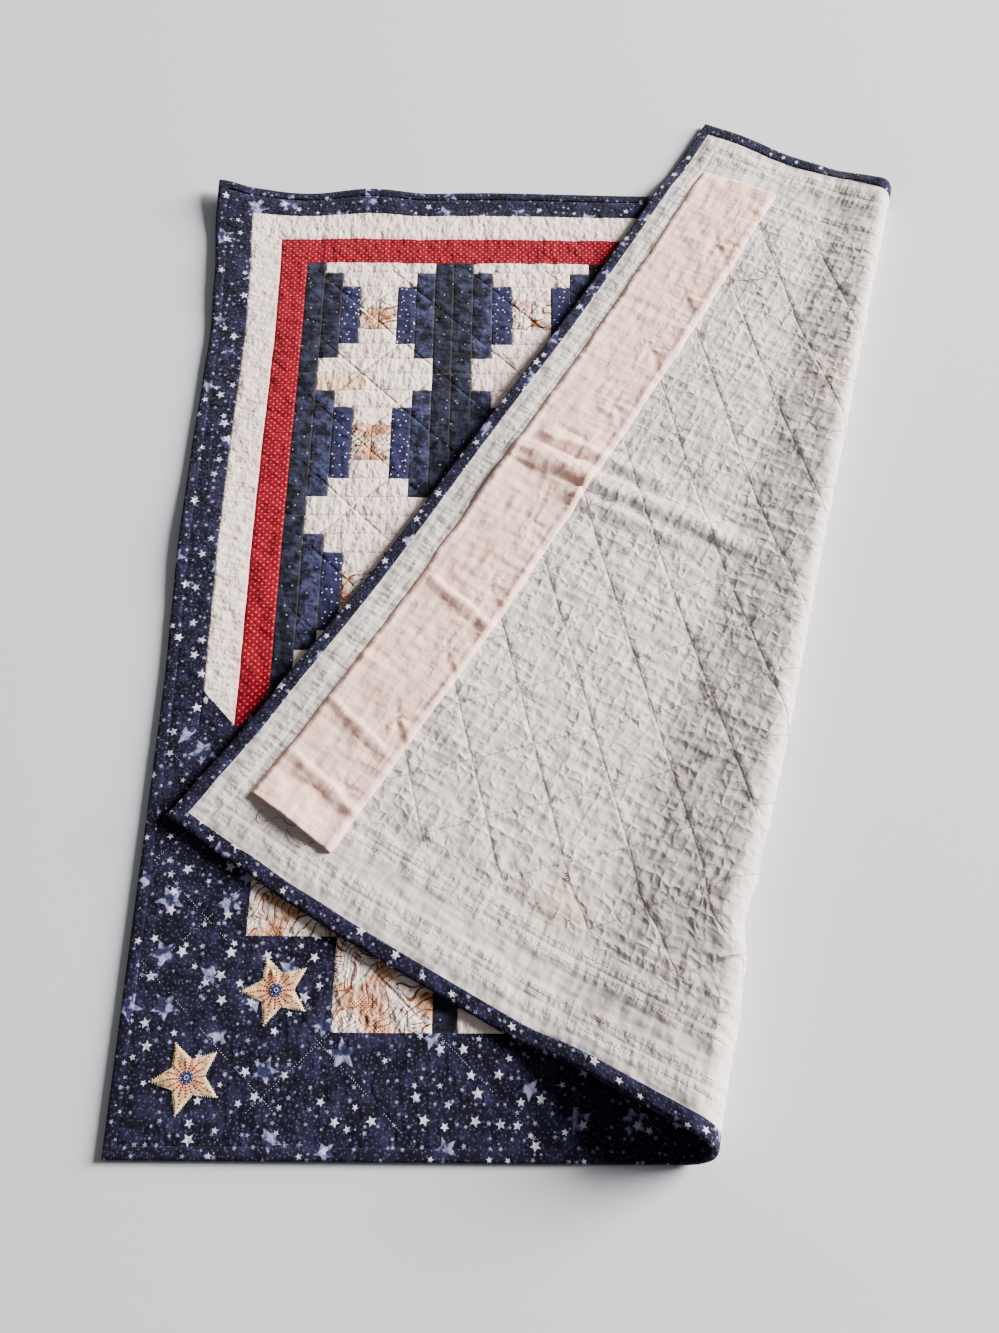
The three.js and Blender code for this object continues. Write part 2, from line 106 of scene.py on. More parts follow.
def smoothstep(low, high, x):
    share = np.clip((x - low) / (high - low), 0, 1)
    return share * share * (3 - 2 * share)


def read(table, place, column=1):
    """Value of a table's column at places, with a soft change from row to row."""
    keys, values = table[:, 0], table[:, column]
    i = np.clip(np.searchsorted(keys, place, side="right") - 1, 0, len(keys) - 2)
    return values[i] + (values[i + 1] - values[i]) * smoothstep(keys[i], keys[i + 1], place)


def bump(distance, reach):
    """One at the middle, about a third at the reach, nothing well outside."""
    return np.maximum(1 - (distance / (1.8 * reach)) ** 2, 0) ** 3


def fade(distance, reach):
    return np.maximum(1 - np.maximum(distance, 0) / reach, 0) ** 2


def hills(s, t, size, seed, count=97, start=(40.3, 40.7)):
    """Soft random hills between minus one and one, about one size across. size may be a pair."""
    wide, high = size if hasattr(size, "__len__") else (size, size)
    heights = np.random.default_rng(seed).uniform(-1, 1, (count, count))
    x, y = s / wide + start[0], t / high + start[1]
    i, j = np.floor(x).astype(int), np.floor(y).astype(int)
    a, b = smoothstep(0, 1, x - i), smoothstep(0, 1, y - j)
    low, high = (heights[i % count, k % count] * (1 - a) + heights[(i + 1) % count, k % count] * a
                 for k in (j, j + 1))
    return low * (1 - b) + high * b


def across_fold(s, t):
    return (s - FOLD["start"]) * ACROSS[0] + t * ACROSS[1]


def section(length, radius):
    """Way out, height and length of the roll, at lengths of cloth measured across the fold."""
    fall, foot, floor_middle = FOLD["fall"], FOLD["foot"], LOFT / 2
    roll_length = radius * (math.pi + fall)
    roll_end = floor_middle + radius * (1 + math.cos(fall))
    rest = floor_middle + LOFT + LAYER_GAP + foot * (1 - math.cos(fall))
    fall_length = np.maximum((roll_end - rest) / math.sin(fall), 0)
    turn = np.clip(length, 0, roll_length) / radius
    slope = np.clip(length - roll_length, 0, fall_length)
    bend = np.clip(length - roll_length - fall_length, 0, foot * fall) / foot
    level = np.maximum(length - roll_length - fall_length - foot * fall, 0)
    out = (radius * np.sin(turn) - slope * math.cos(fall) - foot * (math.sin(fall) - np.sin(fall - bend))
           - level)
    height = (floor_middle + radius * (1 - np.cos(turn)) - slope * math.sin(fall)
              - foot * (np.cos(fall - bend) - math.cos(fall)))
    return out, height, roll_length


def crease_place(s, t, s1, t1, s2, t2):
    """Place along a crease, distance beside it, and a share that dies away at its two ends."""
    length = math.hypot(s2 - s1, t2 - t1)
    ds, dt = (s2 - s1) / length, (t2 - t1) / length
    place, aside = (s - s1) * ds + (t - t1) * dt, (s - s1) * dt - (t - t1) * ds
    share = (smoothstep(0, length * CREASE_ENDS["start"], place)
             * (1 - smoothstep(length * CREASE_ENDS["fall"], length, place)))
    return place, aside, share


def unevenness(s, t):
    """Height of the soft lifts and creases."""
    rise = np.zeros_like(s)
    for at_s, at_t, reach, height in LIFTS:
        rise += height * bump(np.hypot(s - at_s, t - at_t), reach)
    for *ends, height, width in CREASES:
        _, aside, share = crease_place(s, t, *ends)
        rise += height * share * bump(aside, width)
    return rise


def middle(s, t):
    """Middle of the sandwich at flat points, in the folded quilt."""
    u = across_fold(s, t)
    v = (s - FOLD["start"]) * ALONG[0] + t * ALONG[1]
    wander = read(ROLL, v, WANDER)
    length = np.maximum(u - wander, 0)
    out, height, roll_length = section(length, read(ROLL, v, RADIUS))
    beyond = np.maximum(length - roll_length, 0)
    eased = beyond * beyond / (beyond + FOLD["ease"])
    share = v / SIDE
    inward = PULL["in_low"] * (1 - share) + PULL["in_high"] * share
    slide = PULL["along_low"] * (1 - share) + PULL["along_high"] * share
    rest = 2 * wander * beyond / (beyond + FOLD["wander_ease"])
    p = np.where(length > 0, wander + out, u) - inward * eased - rest
    q = v + slide * eased
    x = FOLD["start"] + p * ACROSS[0] + q * ALONG[0] + read(LEFT_EDGE, t) * fade(s, EDGE_REACH)
    y = p * ACROSS[1] + q * ALONG[1] + np.where(length > 0, read(FLAP_EDGE, s) * fade(t, EDGE_REACH),
                                                read(TOP_EDGE, s) * fade(SIDE - t, EDGE_REACH))
    overhang = smoothstep(SIDE + OVERHANG["start"], SIDE + OVERHANG["end"], y) * (length > roll_length)
    z = height + unevenness(s, t) - overhang * OVERHANG["drop"]
    return np.stack([x - ORIGIN[0], y - ORIGIN[1], z], -1)


def cloth_up(s, t):
    """The front face's own upward direction at flat points."""
    step = 1 * MM
    n = np.cross(middle(s + step, t) - middle(s - step, t), middle(s, t + step) - middle(s, t - step))
    return n / np.linalg.norm(n, axis=-1, keepdims=True)


# Relief of the two faces. Its heights are in millimetres until they are added to the loft.

def inset_of(s, t):
    return np.minimum(np.minimum(s, t), np.minimum(SIDE - s, SIDE - t))


def in_field(s, t):
    return inset_of(s, t) > QUILTING["field"] * STRIP


def beside_left_or_right(s, t):
    """True where the nearest edge is the left or the right one."""
    return np.minimum(s, SIDE - s) < np.minimum(t, SIDE - t)


def line_distance(value, offset):
    """Distance to the nearest line of a family of quilting lines, in metres on the cloth."""
    place = (value / STRIP - offset) / QUILTING["pitch"]
    return np.abs(place - np.round(place)) * QUILTING["pitch"] * STRIP / math.sqrt(2)


def quilting_distances(s, t):
    """Distances to the nearest line of both families, and of the family that was drawn tightest."""
    steep = line_distance(s - t, QUILTING["difference"])
    near = np.minimum(line_distance(s + t, QUILTING["sum"]), steep)
    return (np.where(in_field(s, t), distance, FAR) for distance in (near, steep))


def puckers(s, t, distance, reach, size, seed):
    """Short ripples that run off a sewn line and die away at the reach."""
    return hills(s, t, size, seed) * bump(distance, reach)


def crossing_gathers(s, t, lobes, reach):
    """Small folds that radiate from where two quilting lines cross, turned differently at each."""
    total = (s + t) / STRIP - QUILTING["sum"]
    difference = (s - t) / STRIP - QUILTING["difference"]
    pitch = QUILTING["pitch"]
    i, j = np.round(total / pitch), np.round(difference / pitch)
    a, b = (total - i * pitch) * STRIP / math.sqrt(2), (difference - j * pitch) * STRIP / math.sqrt(2)
    r = np.hypot(a, b)
    folds = np.cos(lobes * np.arctan2(b, a) + 2.4 * i + 1.7 * j)
    return in_field(s, t) * folds * bump(r, reach) * smoothstep(0, 6 * MM, r)


def storage_wrinkles(s, t):
    """Long narrow wrinkles beside the sharpest crease, where the quilt was kept folded."""
    place, aside, share = crease_place(s, t, *CREASES[0][:4])
    return hills(place, aside, (60 * MM, 8 * MM), 12) * bump(aside, 26 * MM) * share


def with_rim(full, inset, edge, ease):
    """Half thickness, kept from getting too thin, which eases to the rim's under the binding."""
    rim = smoothstep(edge, edge + ease, inset)
    return RIM_THICKNESS / 2 + (np.maximum(full, LEAST_LIFT) - RIM_THICKNESS / 2) * rim


def back_lift(s, t):
    """Half thickness on the plain back: waffled by the seams below, and gathered along the quilting."""
    inset, inside = inset_of(s, t), in_field(s, t)
    x, y = s / STRIP - FIELD_LEFT, t / STRIP - FIELD_LOW
    seams = np.minimum(np.abs(x - np.round(x)), np.abs(y - np.round(y))) * STRIP
    line, steep = quilting_distances(s, t)
    rows = np.where(inside, FAR, np.min([np.abs(inset - row) for row in BORDER_ROWS], axis=0))
    row_band = 20 * MM
    along_row = np.where(beside_left_or_right(s, t), t, s)
    across_row = np.round(inset / row_band) * row_band
    waffle = 0.4 * (bump(seams, 4 * MM) - 0.4) * np.where(inside, 1, 0.2)
    waffle = waffle * (0.7 + 0.5 * hills(s, t, 40 * MM, 2))
    fine = (0.7 * hills(s, t, 17 * MM, 3) + 0.5 * hills(s, t, (9 * MM, 24 * MM), 5)
            + 0.5 * hills(s, t, (24 * MM, 9 * MM), 6))
    sewn_down = 0.5 * bump(line, 5 * MM) + 0.6 * bump(steep, 4 * MM) + 0.3 * bump(rows, 4.5 * MM)
    gathered = (0.7 * puckers(s, t, line, 13 * MM, (10 * MM, 8 * MM), 8)
                + 0.8 * puckers(along_row, across_row, rows, 9 * MM, (9 * MM, row_band), 9)
                + 1.4 * crossing_gathers(s, t, 6, 22 * MM) + 1.5 * storage_wrinkles(s, t))
    full = LOFT / 2 + (waffle + fine - sewn_down + gathered - 0.5) * MM
    return with_rim(full, inset, BINDING["back"], 8 * MM)


def block_places(x, y):
    """Block numbers, and places in logs from the middle of the block, of points counted in strips."""
    found = []
    for value, seams in ((x, np.array(BLOCK_COLUMNS)), (y, np.array(BLOCK_ROWS))):
        k = np.clip(np.searchsorted(seams, value, side="right") - 1, 0, BLOCKS - 1)
        found.append((k, ((value - seams[k]) / (seams[k + 1] - seams[k]) - 0.5) * BLOCK))
    (i, bx), (j, by) = found
    return i, j, bx, by


def on_field(x, y):
    return (x > FIELD_LEFT) & (x < BLOCK_COLUMNS[-1]) & (y > FIELD_LOW) & (y < FIELD_TOP)


def striped_border(x, y):
    """True where the cream and red strips of the border lie, which end below in a pencil point."""
    (px, py), *ends = PENCIL_POINT
    left_cut, right_cut = (y > py + (x - px) * (end_y - py) / (end_x - px) for end_x, end_y in ends)
    return left_cut & right_cut & (y > py)


def front_seam_distance(s, t):
    """Distance to the nearest seam of the pieced front."""
    x, y = s / STRIP, t / STRIP
    down = SIDE / STRIP - y
    i, j, bx, by = block_places(x, y)
    ring_x, ring_y = np.abs(bx), np.abs(by)
    light = np.ceil(ring_y) > np.ceil(ring_x)
    level, upright = (np.abs(ring - np.round(ring)) for ring in (ring_y, ring_x))
    stepped = np.where(light, np.minimum(level, np.abs(ring_x - np.ceil(ring_y) + 1)),
                       np.minimum(upright, np.abs(ring_y - np.ceil(ring_x))))
    patch = np.minimum(np.abs(x - FOUR_PATCH[0]), np.abs(y - FOUR_PATCH[1]))
    logs = np.where((i == 0) & (j == 0), patch, stepped)
    nested = [np.where(down > top, np.abs(x - left), np.where(x > left, np.abs(down - top), FAR / STRIP))
              for left, top in zip(SEAMS_LEFT, SEAMS_TOP)]
    strips = np.where(y > PENCIL_POINT[0][1], np.min(nested, axis=0), np.abs(y - FIELD_LOW))
    binding_seam = np.abs(inset_of(s, t) - BINDING["front"] - 1 * MM)
    return np.minimum(np.where(on_field(x, y), logs, strips) * STRIP, binding_seam)


def front_lift(s, t):
    """Half thickness on the pieced front: ditches in the seams, puffs and gathers between them."""
    seam = front_seam_distance(s, t)
    line, _ = quilting_distances(s, t)
    puff = 0.8 * hills(s, t, 15 * MM, 21) + 0.4 * hills(s, t, (8 * MM, 11 * MM), 22)
    sewn_down = 0.6 * bump(seam, 2.8 * MM) + 0.8 * bump(line, 4 * MM)
    gathered = (0.9 * puckers(s, t, seam, 9 * MM, 8 * MM, 24) + crossing_gathers(s, t, 5, 20 * MM)
                + 0.6 * puckers(s, t, line, 10 * MM, (9 * MM, 7 * MM), 25))
    full = LOFT / 2 + (puff - sewn_down + gathered - 0.6) * MM
    return with_rim(full, inset_of(s, t), BINDING["front"], 6 * MM)


def on_face(s, t, lift, side, off=0.0):
    """Points on a face of the quilt, or a little off it. side is 1 for the front and -1 for the back."""
    return middle(s, t) + cloth_up(s, t) * (side * (lift(s, t) + off))[:, None]


# Building meshes from flat points.

def grid_lines(stops, pitches):
    """Places of grid lines from stop to stop, each stretch split evenly into steps near its pitch."""
    lines = [stops[0]]
    for low, high, pitch in zip(stops, stops[1:], pitches):
        count = max(round((high - low) / pitch), 1)
        lines.extend(low + (high - low) * (k + 1) / count for k in range(count))
    return np.array(lines)


def flat_grid(lines_s, lines_t):
    """Flat points of a grid and its quads, which turn left seen from the front."""
    s, t = np.meshgrid(lines_s, lines_t)
    k = np.arange(s.size).reshape(s.shape)
    quads = np.stack([k[:-1, :-1], k[:-1, 1:], k[1:, 1:], k[1:, :-1]], -1)
    return s.ravel(), t.ravel(), quads.reshape(-1, 4).tolist()


def rim_faces(columns, rows):
    """Quads between the rims of two grids, whose points are numbered one grid after the other."""
    k = np.arange(columns * rows).reshape(rows, columns)
    loop = np.concatenate([k[0, :-1], k[:-1, -1], k[-1, :0:-1], k[:0:-1, 0]])
    after = np.roll(loop, -1)
    return np.stack([loop, after, after + k.size, loop + k.size], -1).tolist()


def tube_faces(rings, around, joined=False):
    """Quads between rings of points, and back to the first ring if the tube's two ends are joined."""
    k = np.arange(rings * around).reshape(rings, around)
    after = np.roll(k, -1, 0)
    quads = np.stack([k, after, np.roll(after, -1, 1), np.roll(k, -1, 1)], -1)
    return quads[:rings if joined else rings - 1].reshape(-1, 4).tolist()


def inner_faces(columns, rows, step=2):
    """Coarse faces of a hidden inner side. Those at the rim also hold the rim's fine points."""
    across, up = (list(range(0, count - 1, step)) + [count - 1] for count in (columns, rows))
    faces = []
    for j, (t0, t1) in enumerate(zip(up, up[1:])):
        for i, (s0, s1) in enumerate(zip(across, across[1:])):
            low = range(s0, s1) if j == 0 else [s0]
            right = range(t0, t1) if i == len(across) - 2 else [t0]
            high = range(s1, s0, -1) if j == len(up) - 2 else [s1]
            left = range(t1, t0, -1) if i == 0 else [t1]
            face = [t0 * columns + k for k in low] + [k * columns + s1 for k in right]
            face += [t1 * columns + k for k in high] + [k * columns + s0 for k in left]
            faces.append([columns * rows + k for k in face])
    return faces


def placed(name, data):
    """A new object in the scene."""
    thing = bpy.data.objects.new(name, data)
    bpy.context.scene.collection.objects.link(thing)
    return thing


def taken(elements, word, width=1, kind=float):
    """A value, or a row of values, of each element of a mesh."""
    values = np.zeros(len(elements) * width, kind)
    elements.foreach_get(word, values)
    return values.reshape(-1, width) if width > 1 else values


def give(mesh, name, kind, domain, values):
    """Stores a named number or vector on each point or face of a mesh."""
    layer = mesh.attributes.new(name, kind, domain)
    word = "vector" if kind == "FLOAT_VECTOR" else "value"
    layer.data.foreach_set(word, values.astype(np.float32).ravel())


def new_piece(name, vertices, faces, flat=None):
    """A mesh object at the origin, with its flat place as a UV map in metres."""
    mesh = bpy.data.meshes.new(name)
    mesh.from_pydata(vertices.tolist(), [], faces)
    if flat is not None:
        corners = flat[taken(mesh.loops, "vertex_index", kind=int)]
        mesh.uv_layers.new(name="flat").data.foreach_set("uv", corners.astype(np.float32).ravel())
    mesh.validate()
    return placed(name, mesh)


def tidy_mesh(piece, material):
    """Drops points that no face uses, turns all faces outwards, and gives the piece its material."""
    work = bmesh.new()
    work.from_mesh(piece.data)
    bmesh.ops.delete(work, geom=[v for v in work.verts if not v.link_faces], context="VERTS")
    bmesh.ops.recalc_face_normals(work, faces=work.faces)
    work.to_mesh(piece.data)
    work.free()
    piece.data.shade_smooth()
    if material:
        piece.data.materials.append(material)
    return piece


def on_floor(points, least=0.1 * MM):
    """Cloth that lies on the floor is pressed flat there."""
    points[:, 2] = np.maximum(points[:, 2], least)
    return points


def cut_along(work, start, end, low, high):
    """Cuts the faces of a flat mesh between two corners of a box along a line."""
    def in_box(face):
        place = face.calc_center_median()
        return low[0] < place.x < high[0] and low[1] < place.y < high[1]
    faces = [face for face in work.faces if in_box(face)]
    edges = {edge for face in faces for edge in face.edges}
    points = {point for face in faces for point in face.verts}
    across = Vector((end[1] - start[1], start[0] - end[0], 0)).normalized()
    bmesh.ops.bisect_plane(work, geom=[*faces, *edges, *points], dist=0.01 * MM, plane_co=(*start, 0),
                           plane_no=across)


def cloth_shell(name, grid, lift, side, material=None, cuts=()):
    """A closed shell of cloth: a fine face at its lift, and a coarser one hidden inside the sandwich."""
    columns, rows = (len(lines) for lines in grid)
    s, t, faces = flat_grid(*grid)
    faces += inner_faces(columns, rows) + rim_faces(columns, rows)
    outer = np.stack([s, t, np.ones(len(s))], -1)
    piece = new_piece(name, np.vstack([outer, outer * (1, 1, 0)]), faces, np.tile(outer[:, :2], (2, 1)))
    work = bmesh.new()
    work.from_mesh(piece.data)
    for cut in cuts:
        cut_along(work, *cut)
    work.to_mesh(piece.data)
    work.free()
    s, t, layer = taken(piece.data.vertices, "co", 3).T
    off = np.where(layer > 0.5, lift(s, t), HIDDEN_LIFT) * side
    folded = on_floor(middle(s, t) + cloth_up(s, t) * off[:, None])
    piece.data.vertices.foreach_set("co", folded.ravel())
    return tidy_mesh(piece, material)


# The pieced front, cut into cloths. Numbers are the places of the cloths in the quilt's list of materials.
NAVY, CREAM, RED, PRINT, INDIGO, MOTTLED, SLATE = range(7)


def cloth_at(s, t):
    """Number of the cloth at flat points of the front."""
    x, y = s / STRIP, t / STRIP
    i, j, bx, by = block_places(x, y)
    ring_x, ring_y = np.ceil(np.abs(bx)), np.ceil(np.abs(by))
    field, striped = on_field(x, y), striped_border(x, y) & (x < BLOCK_COLUMNS[-1])
    cloth = np.full(len(s), NAVY)
    for number, left, top in zip((CREAM, RED), SEAMS_LEFT, SEAMS_TOP):
        cloth[~field & striped & (x > left) & (y < SIDE / STRIP - top)] = number
    light = ring_y > ring_x
    cloth[field & light] = CREAM
    for number, ring in ((INDIGO, 2), (MOTTLED, 3), (SLATE, 4)):
        cloth[field & ~light & (ring_x == ring)] = number
    cloth[field & (ring_x <= 1) & (ring_y <= 1)] = PRINT
    first = field & (i == 0) & (j == 0)
    cloth[first] = NAVY
    cloth[first & ((x > FOUR_PATCH[0]) != (y > FOUR_PATCH[1]))] = PRINT
    return cloth


def tone_at(s, t):
    """A number that looks random for each log. One light log has the highest, and so turns peach."""
    x, y = s / STRIP, t / STRIP
    i, j, bx, by = block_places(x, y)
    ring_x, ring_y = np.ceil(np.abs(bx)), np.ceil(np.abs(by))
    light = ring_y > ring_x
    ring, side = np.where(light, ring_y, ring_x), np.where(light, np.sign(by), np.sign(bx))
    # Odd factors turn the numbers that name a log into one with no pattern.
    mixed = i * 12.99 + j * 78.23 + ring * 37.72 + side * 11.31 + light * 5.7
    dice = np.mod(np.sin(mixed) * 43758.5453, 1) * 0.9
    peach_end = (i == 0) & (j == 3) & light & (by > 3) & (np.abs(bx + 2) < 1.5)
    return np.where(on_field(x, y), np.where(peach_end, 1.0, dice), 0.2)


def runs_upright(s, t):
    """One where the logs or strips run up the quilt, nothing where they run across."""
    *_, bx, by = block_places(s / STRIP, t / STRIP)
    dark_log = np.ceil(np.abs(by)) <= np.ceil(np.abs(bx))
    return np.where(on_field(s / STRIP, t / STRIP), dark_log, beside_left_or_right(s, t))


def set_cloths(piece):
    """Gives each face of the pieced front its cloth, tone and way, and each point its nearness to a seam."""
    mesh = piece.data
    flat = taken(mesh.uv_layers["flat"].data, "uv", 2)
    starts, counts = (taken(mesh.polygons, word, kind=int) for word in ("loop_start", "loop_total"))
    s, t = (np.add.reduceat(flat, starts, axis=0) / counts[:, None]).T
    mesh.polygons.foreach_set("material_index", cloth_at(s, t).astype(np.int32))
    give(mesh, "tone", "FLOAT", "FACE", tone_at(s, t))
    give(mesh, "upright", "FLOAT", "FACE", runs_upright(s, t))
    places = np.zeros((len(mesh.vertices), 2))
    places[taken(mesh.loops, "vertex_index", kind=int)] = flat
    give(mesh, "seam", "FLOAT", "POINT", np.exp(-front_seam_distance(*places.T) / (2 * MM)))


# The binding: one folded strip round the rim. Its section is given as inset from the rim and height.
BINDING_SECTION = np.array([(11.2, 2.1), (11.4, 2.7), (10.6, 3.15), (7, 3.3), (3, 3.3), (0.4, 3.1),
                            (-0.9, 2.2), (-1.5, 0.9), (-1.5, -0.9), (-0.9, -2.2), (0.4, -3.0), (4, -3.2),
                            (11, -3.2), (15.4, -3.1), (16.3, -2.7), (16.1, -2.1)]) * MM


def binding_piece(name, material, station=5 * MM):
    """The strip along the four sides in turn, with its section drawn at even stations."""
    inset, height = BINDING_SECTION.T
    count = round(SIDE / station)
    along = inset + np.arange(count)[:, None] / count * (SIDE - 2 * inset)
    sides = [(cs * SIDE + ds * along - dt * inset, ct * SIDE + dt * along + ds * inset)
             for cs, ct, ds, dt in ((0, 0, 1, 0), (1, 0, 0, 1), (1, 1, -1, 0), (0, 1, 0, -1))]
    s, t = (np.concatenate(places).ravel() for places in zip(*sides))
    faces = tube_faces(4 * count, len(inset), joined=True)
    inset, height = np.tile(inset, 4 * count), np.tile(height, 4 * count)
    gathers = 0.35 * MM * hills(s, t, 6 * MM, 31) + 0.3 * MM * hills(s, t, 14 * MM, 32)
    height += np.sign(height) * gathers * smoothstep(-1 * MM, 3 * MM, inset)
    points = on_floor(middle(s, t) + cloth_up(s, t) * height[:, None])
    return tidy_mesh(new_piece(name, points, faces, np.stack([s, t], -1)), material)


# The hanging sleeve: a long band sewn to the back along both sides, open at its two ends.
SLEEVE_CORNERS = np.array([((1198, 76), (1085, 66)), ((1206, 1168), (1070, 1166))]) * MM
SLEEVE = {"length": 1100 * MM, "width": 113 * MM, "mouth": 7 * MM, "mouth_reach": 45 * MM,
          "thickness": 0.9 * MM, "loose_at": 570 * MM, "loose_reach": 45 * MM}


def sleeve_piece(name, material, columns=41, rows=421):
    """Two layers of one grid: hems drawn down at the sides, a raised mouth, creases and one loose stretch."""
    a, b, faces = flat_grid(np.linspace(0, 1, columns), np.linspace(0, 1, rows))
    low, high = (left + (right - left) * a[:, None] for left, right in SLEEVE_CORNERS)
    s, t = (low + (high - low) * b[:, None]).T
    s = s + 1.6 * MM * (hills(b * 1.1, b * 0, 0.05, 41) * (1 - a) + hills(b * 1.1, b * 0, 0.04, 42) * a)
    edge = np.minimum(a, 1 - a) * SLEEVE["width"]
    hem = smoothstep(0, 5 * MM, edge)
    open_share = 1 - smoothstep(0, SLEEVE["mouth_reach"], b * SLEEVE["length"])
    mouth = SLEEVE["mouth"] * open_share * np.sin(np.pi * a) ** 0.7
    billow = (0.7 * hills(s, t, (26 * MM, 60 * MM), 43) + 0.4 * hills(s, t, (13 * MM, 22 * MM), 44)
              + 0.25 * hills(s, t, (6 * MM, 12 * MM), 45))
    ridge = 1.3 * bump(edge - 6 * MM, 4 * MM) + 1.2 * storage_wrinkles(s, t)
    for *ends, _, _ in CREASES:
        place, aside, share = crease_place(s, t, *ends)
        aside = aside + 3 * MM * hills(place, aside, 22 * MM, 46)
        ridge += 1.3 * bump(aside - 1.5 * MM, 2 * MM) * (0.2 + share)
    loose = 4 * bump(t - SLEEVE["loose_at"], SLEEVE["loose_reach"]) * (1 - a) ** 6
    raised = (1.5 + np.maximum(billow, -1.1) + ridge) * hem + loose + 0.5
    outer = np.minimum(back_lift(s, t), LOFT / 2 + 0.4 * MM) + raised * MM + mouth
    inner = outer - SLEEVE["thickness"] * (0.4 + 0.6 * hem)
    points = np.vstack([middle(s, t) - cloth_up(s, t) * off[:, None] for off in (outer, inner)])
    faces += [[k + len(s) for k in reversed(quad)] for quad in faces] + rim_faces(columns, rows)
    return tidy_mesh(new_piece(name, points, faces, np.tile(np.stack([s, t], -1), (2, 1))), material)


# The two appliqued stars: domed plates of cloth on the navy border, each given by its centre and its turn.
STARS = [(155 * MM, 163 * MM, math.radians(182)), (73 * MM, 76 * MM, math.radians(186))]
STAR = {"tip": 37.5 * MM, "notch": 17.5 * MM, "points": 5, "dome": 1.1 * MM, "hem": 0.3 * MM}


def star_radius(angle):
    """Outline of a five-point star at an angle from one of its tips."""
    sector = math.pi / STAR["points"]
    a = np.abs(np.mod(angle + sector, 2 * sector) - sector)
    notch_x, notch_y = STAR["notch"] * math.cos(sector), STAR["notch"] * math.sin(sector)
    return notch_y * STAR["tip"] / (notch_y * np.cos(a) + (STAR["tip"] - notch_x) * np.sin(a))


def star_piece(name, centre_s, centre_t, turn, material, rings=12, around=160):
    """Rings of the star's own outline round its centre, closed by an under side just off the front."""
    share, angle = np.meshgrid(np.linspace(0, 1, rings + 1)[1:], np.arange(around) / around * 2 * math.pi)
    share, angle = share.ravel(), angle.ravel()
    edge = star_radius(angle)
    s = np.append(centre_s + edge * share * np.cos(angle + turn), centre_s)
    t = np.append(centre_t + edge * share * np.sin(angle + turn), centre_t)
    dome = STAR["dome"] * np.append(smoothstep(0, 3 * MM, (1 - share) * edge), 1)
    height = dome + STAR["hem"] + 0.25 * MM * hills(s, t, 5 * MM, 51)
    points = np.vstack([on_face(s, t, front_lift, 1, off) for off in (height, 0.1 * MM)])
    count = len(s)
    faces = []
    for k in range(around):
        a, b = k * rings, (k + 1) % around * rings
        faces += [[a + r, a + r + 1, b + r + 1, b + r] for r in range(rings - 1)] + [[count - 1, a, b]]
    faces += [[k + count for k in reversed(face)] for face in faces]
    loop = [k * rings + rings - 1 for k in range(around)]
    faces += [[b, a, a + count, b + count] for a, b in zip(loop, loop[1:] + loop[:1])]
    flat = np.stack([s - centre_s, t - centre_t], -1)
    return tidy_mesh(new_piece(name, points, faces, np.tile(flat, (2, 1))), material)


# Stitches: flat places along the sewn lines, each with the thread's direction there.

def stitch_places(s, t, ds, dt, shown=None):
    """One row of numbers for each stitch: its flat place and direction."""
    s, t, ds, dt = np.broadcast_arrays(s, t, ds, dt)
    places = np.stack([s, t, ds, dt], -1)
    return places[shown(s, t)] if shown else places


def slanted_row(start, sign, pitch, shown):
    """Places of stitches where s + t is the start, or s - t if the sign is negative."""
    s = np.arange(-SIDE, 2 * SIDE, pitch / math.sqrt(2))
    return stitch_places(s, start - s if sign == 1 else s - start, 1, -sign, shown)


def line_stitches(sign, pitch, shown):
    """Places of stitches along one family of quilting lines, where they are shown."""
    def shown_in_field(s, t):
        return in_field(s, t) & shown(s, t)
    offset = QUILTING["sum"] if sign == 1 else QUILTING["difference"]
    starts = [(offset + k * QUILTING["pitch"]) * STRIP for k in range(-14, 26)]
    return np.concatenate([slanted_row(start, sign, pitch, shown_in_field) for start in starts])


def row_stitches(rows, pitch, shown):
    """Places of stitches along rows that run beside the four edges."""
    places = []
    for row in rows:
        run = np.arange(row, SIDE - row, pitch)
        places += [stitch_places(run, t, 1, 0, shown) for t in (row, SIDE - row)]
        places += [stitch_places(s, run, 0, 1, shown) for s in (row, SIDE - row)]
    return np.concatenate(places)


# Slanted rows on the navy border of the front, in strips: where s + t or s - t is this much.
BORDER_SLANTS = [(8.1, 1), (12.35, 1), (17.4, 1), (22.4, 1), (-6.3, -1), (-11.3, -1), (-16.3, -1), (3.6, -1)]
# How far past the fold's line the stitches of the back begin, and those of the front end.
BACK_FROM, FRONT_TO = 15 * MM, 60 * MM


def over_fold(s, t):
    """True where the back shows. Some of its stitches are sunk out of sight."""
    return (across_fold(s, t) > BACK_FROM) & (hills(s, t, 8 * MM, 62) > -0.35)


def face_up(s, t):
    return across_fold(s, t) < FRONT_TO


def on_border(s, t):
    """True on the navy border of the front. Many of its stitches are sunk out of sight."""
    low_left = (t < FIELD_LOW * STRIP) | ((s < FIELD_LEFT * STRIP) & (t < PENCIL_POINT[0][1] * STRIP))
    inner = inset_of(s, t) > BINDING["front"] + 2 * MM
    return inner & low_left & face_up(s, t) & (hills(s, t, 9 * MM, 61) > -0.1)


def ring_places(centre_s, centre_t, turn, radii, count, outwards, first):
    """Places of stitches in rings about a star's centre, laid along the radius or round it."""
    angle = turn + first + np.arange(count) / count * 2 * math.pi
    way = angle if outwards else angle + math.pi / 2
    return np.concatenate([stitch_places(centre_s + radius * np.cos(angle), centre_t + radius * np.sin(angle),
                                         np.cos(way), np.sin(way)) for radius in radii])


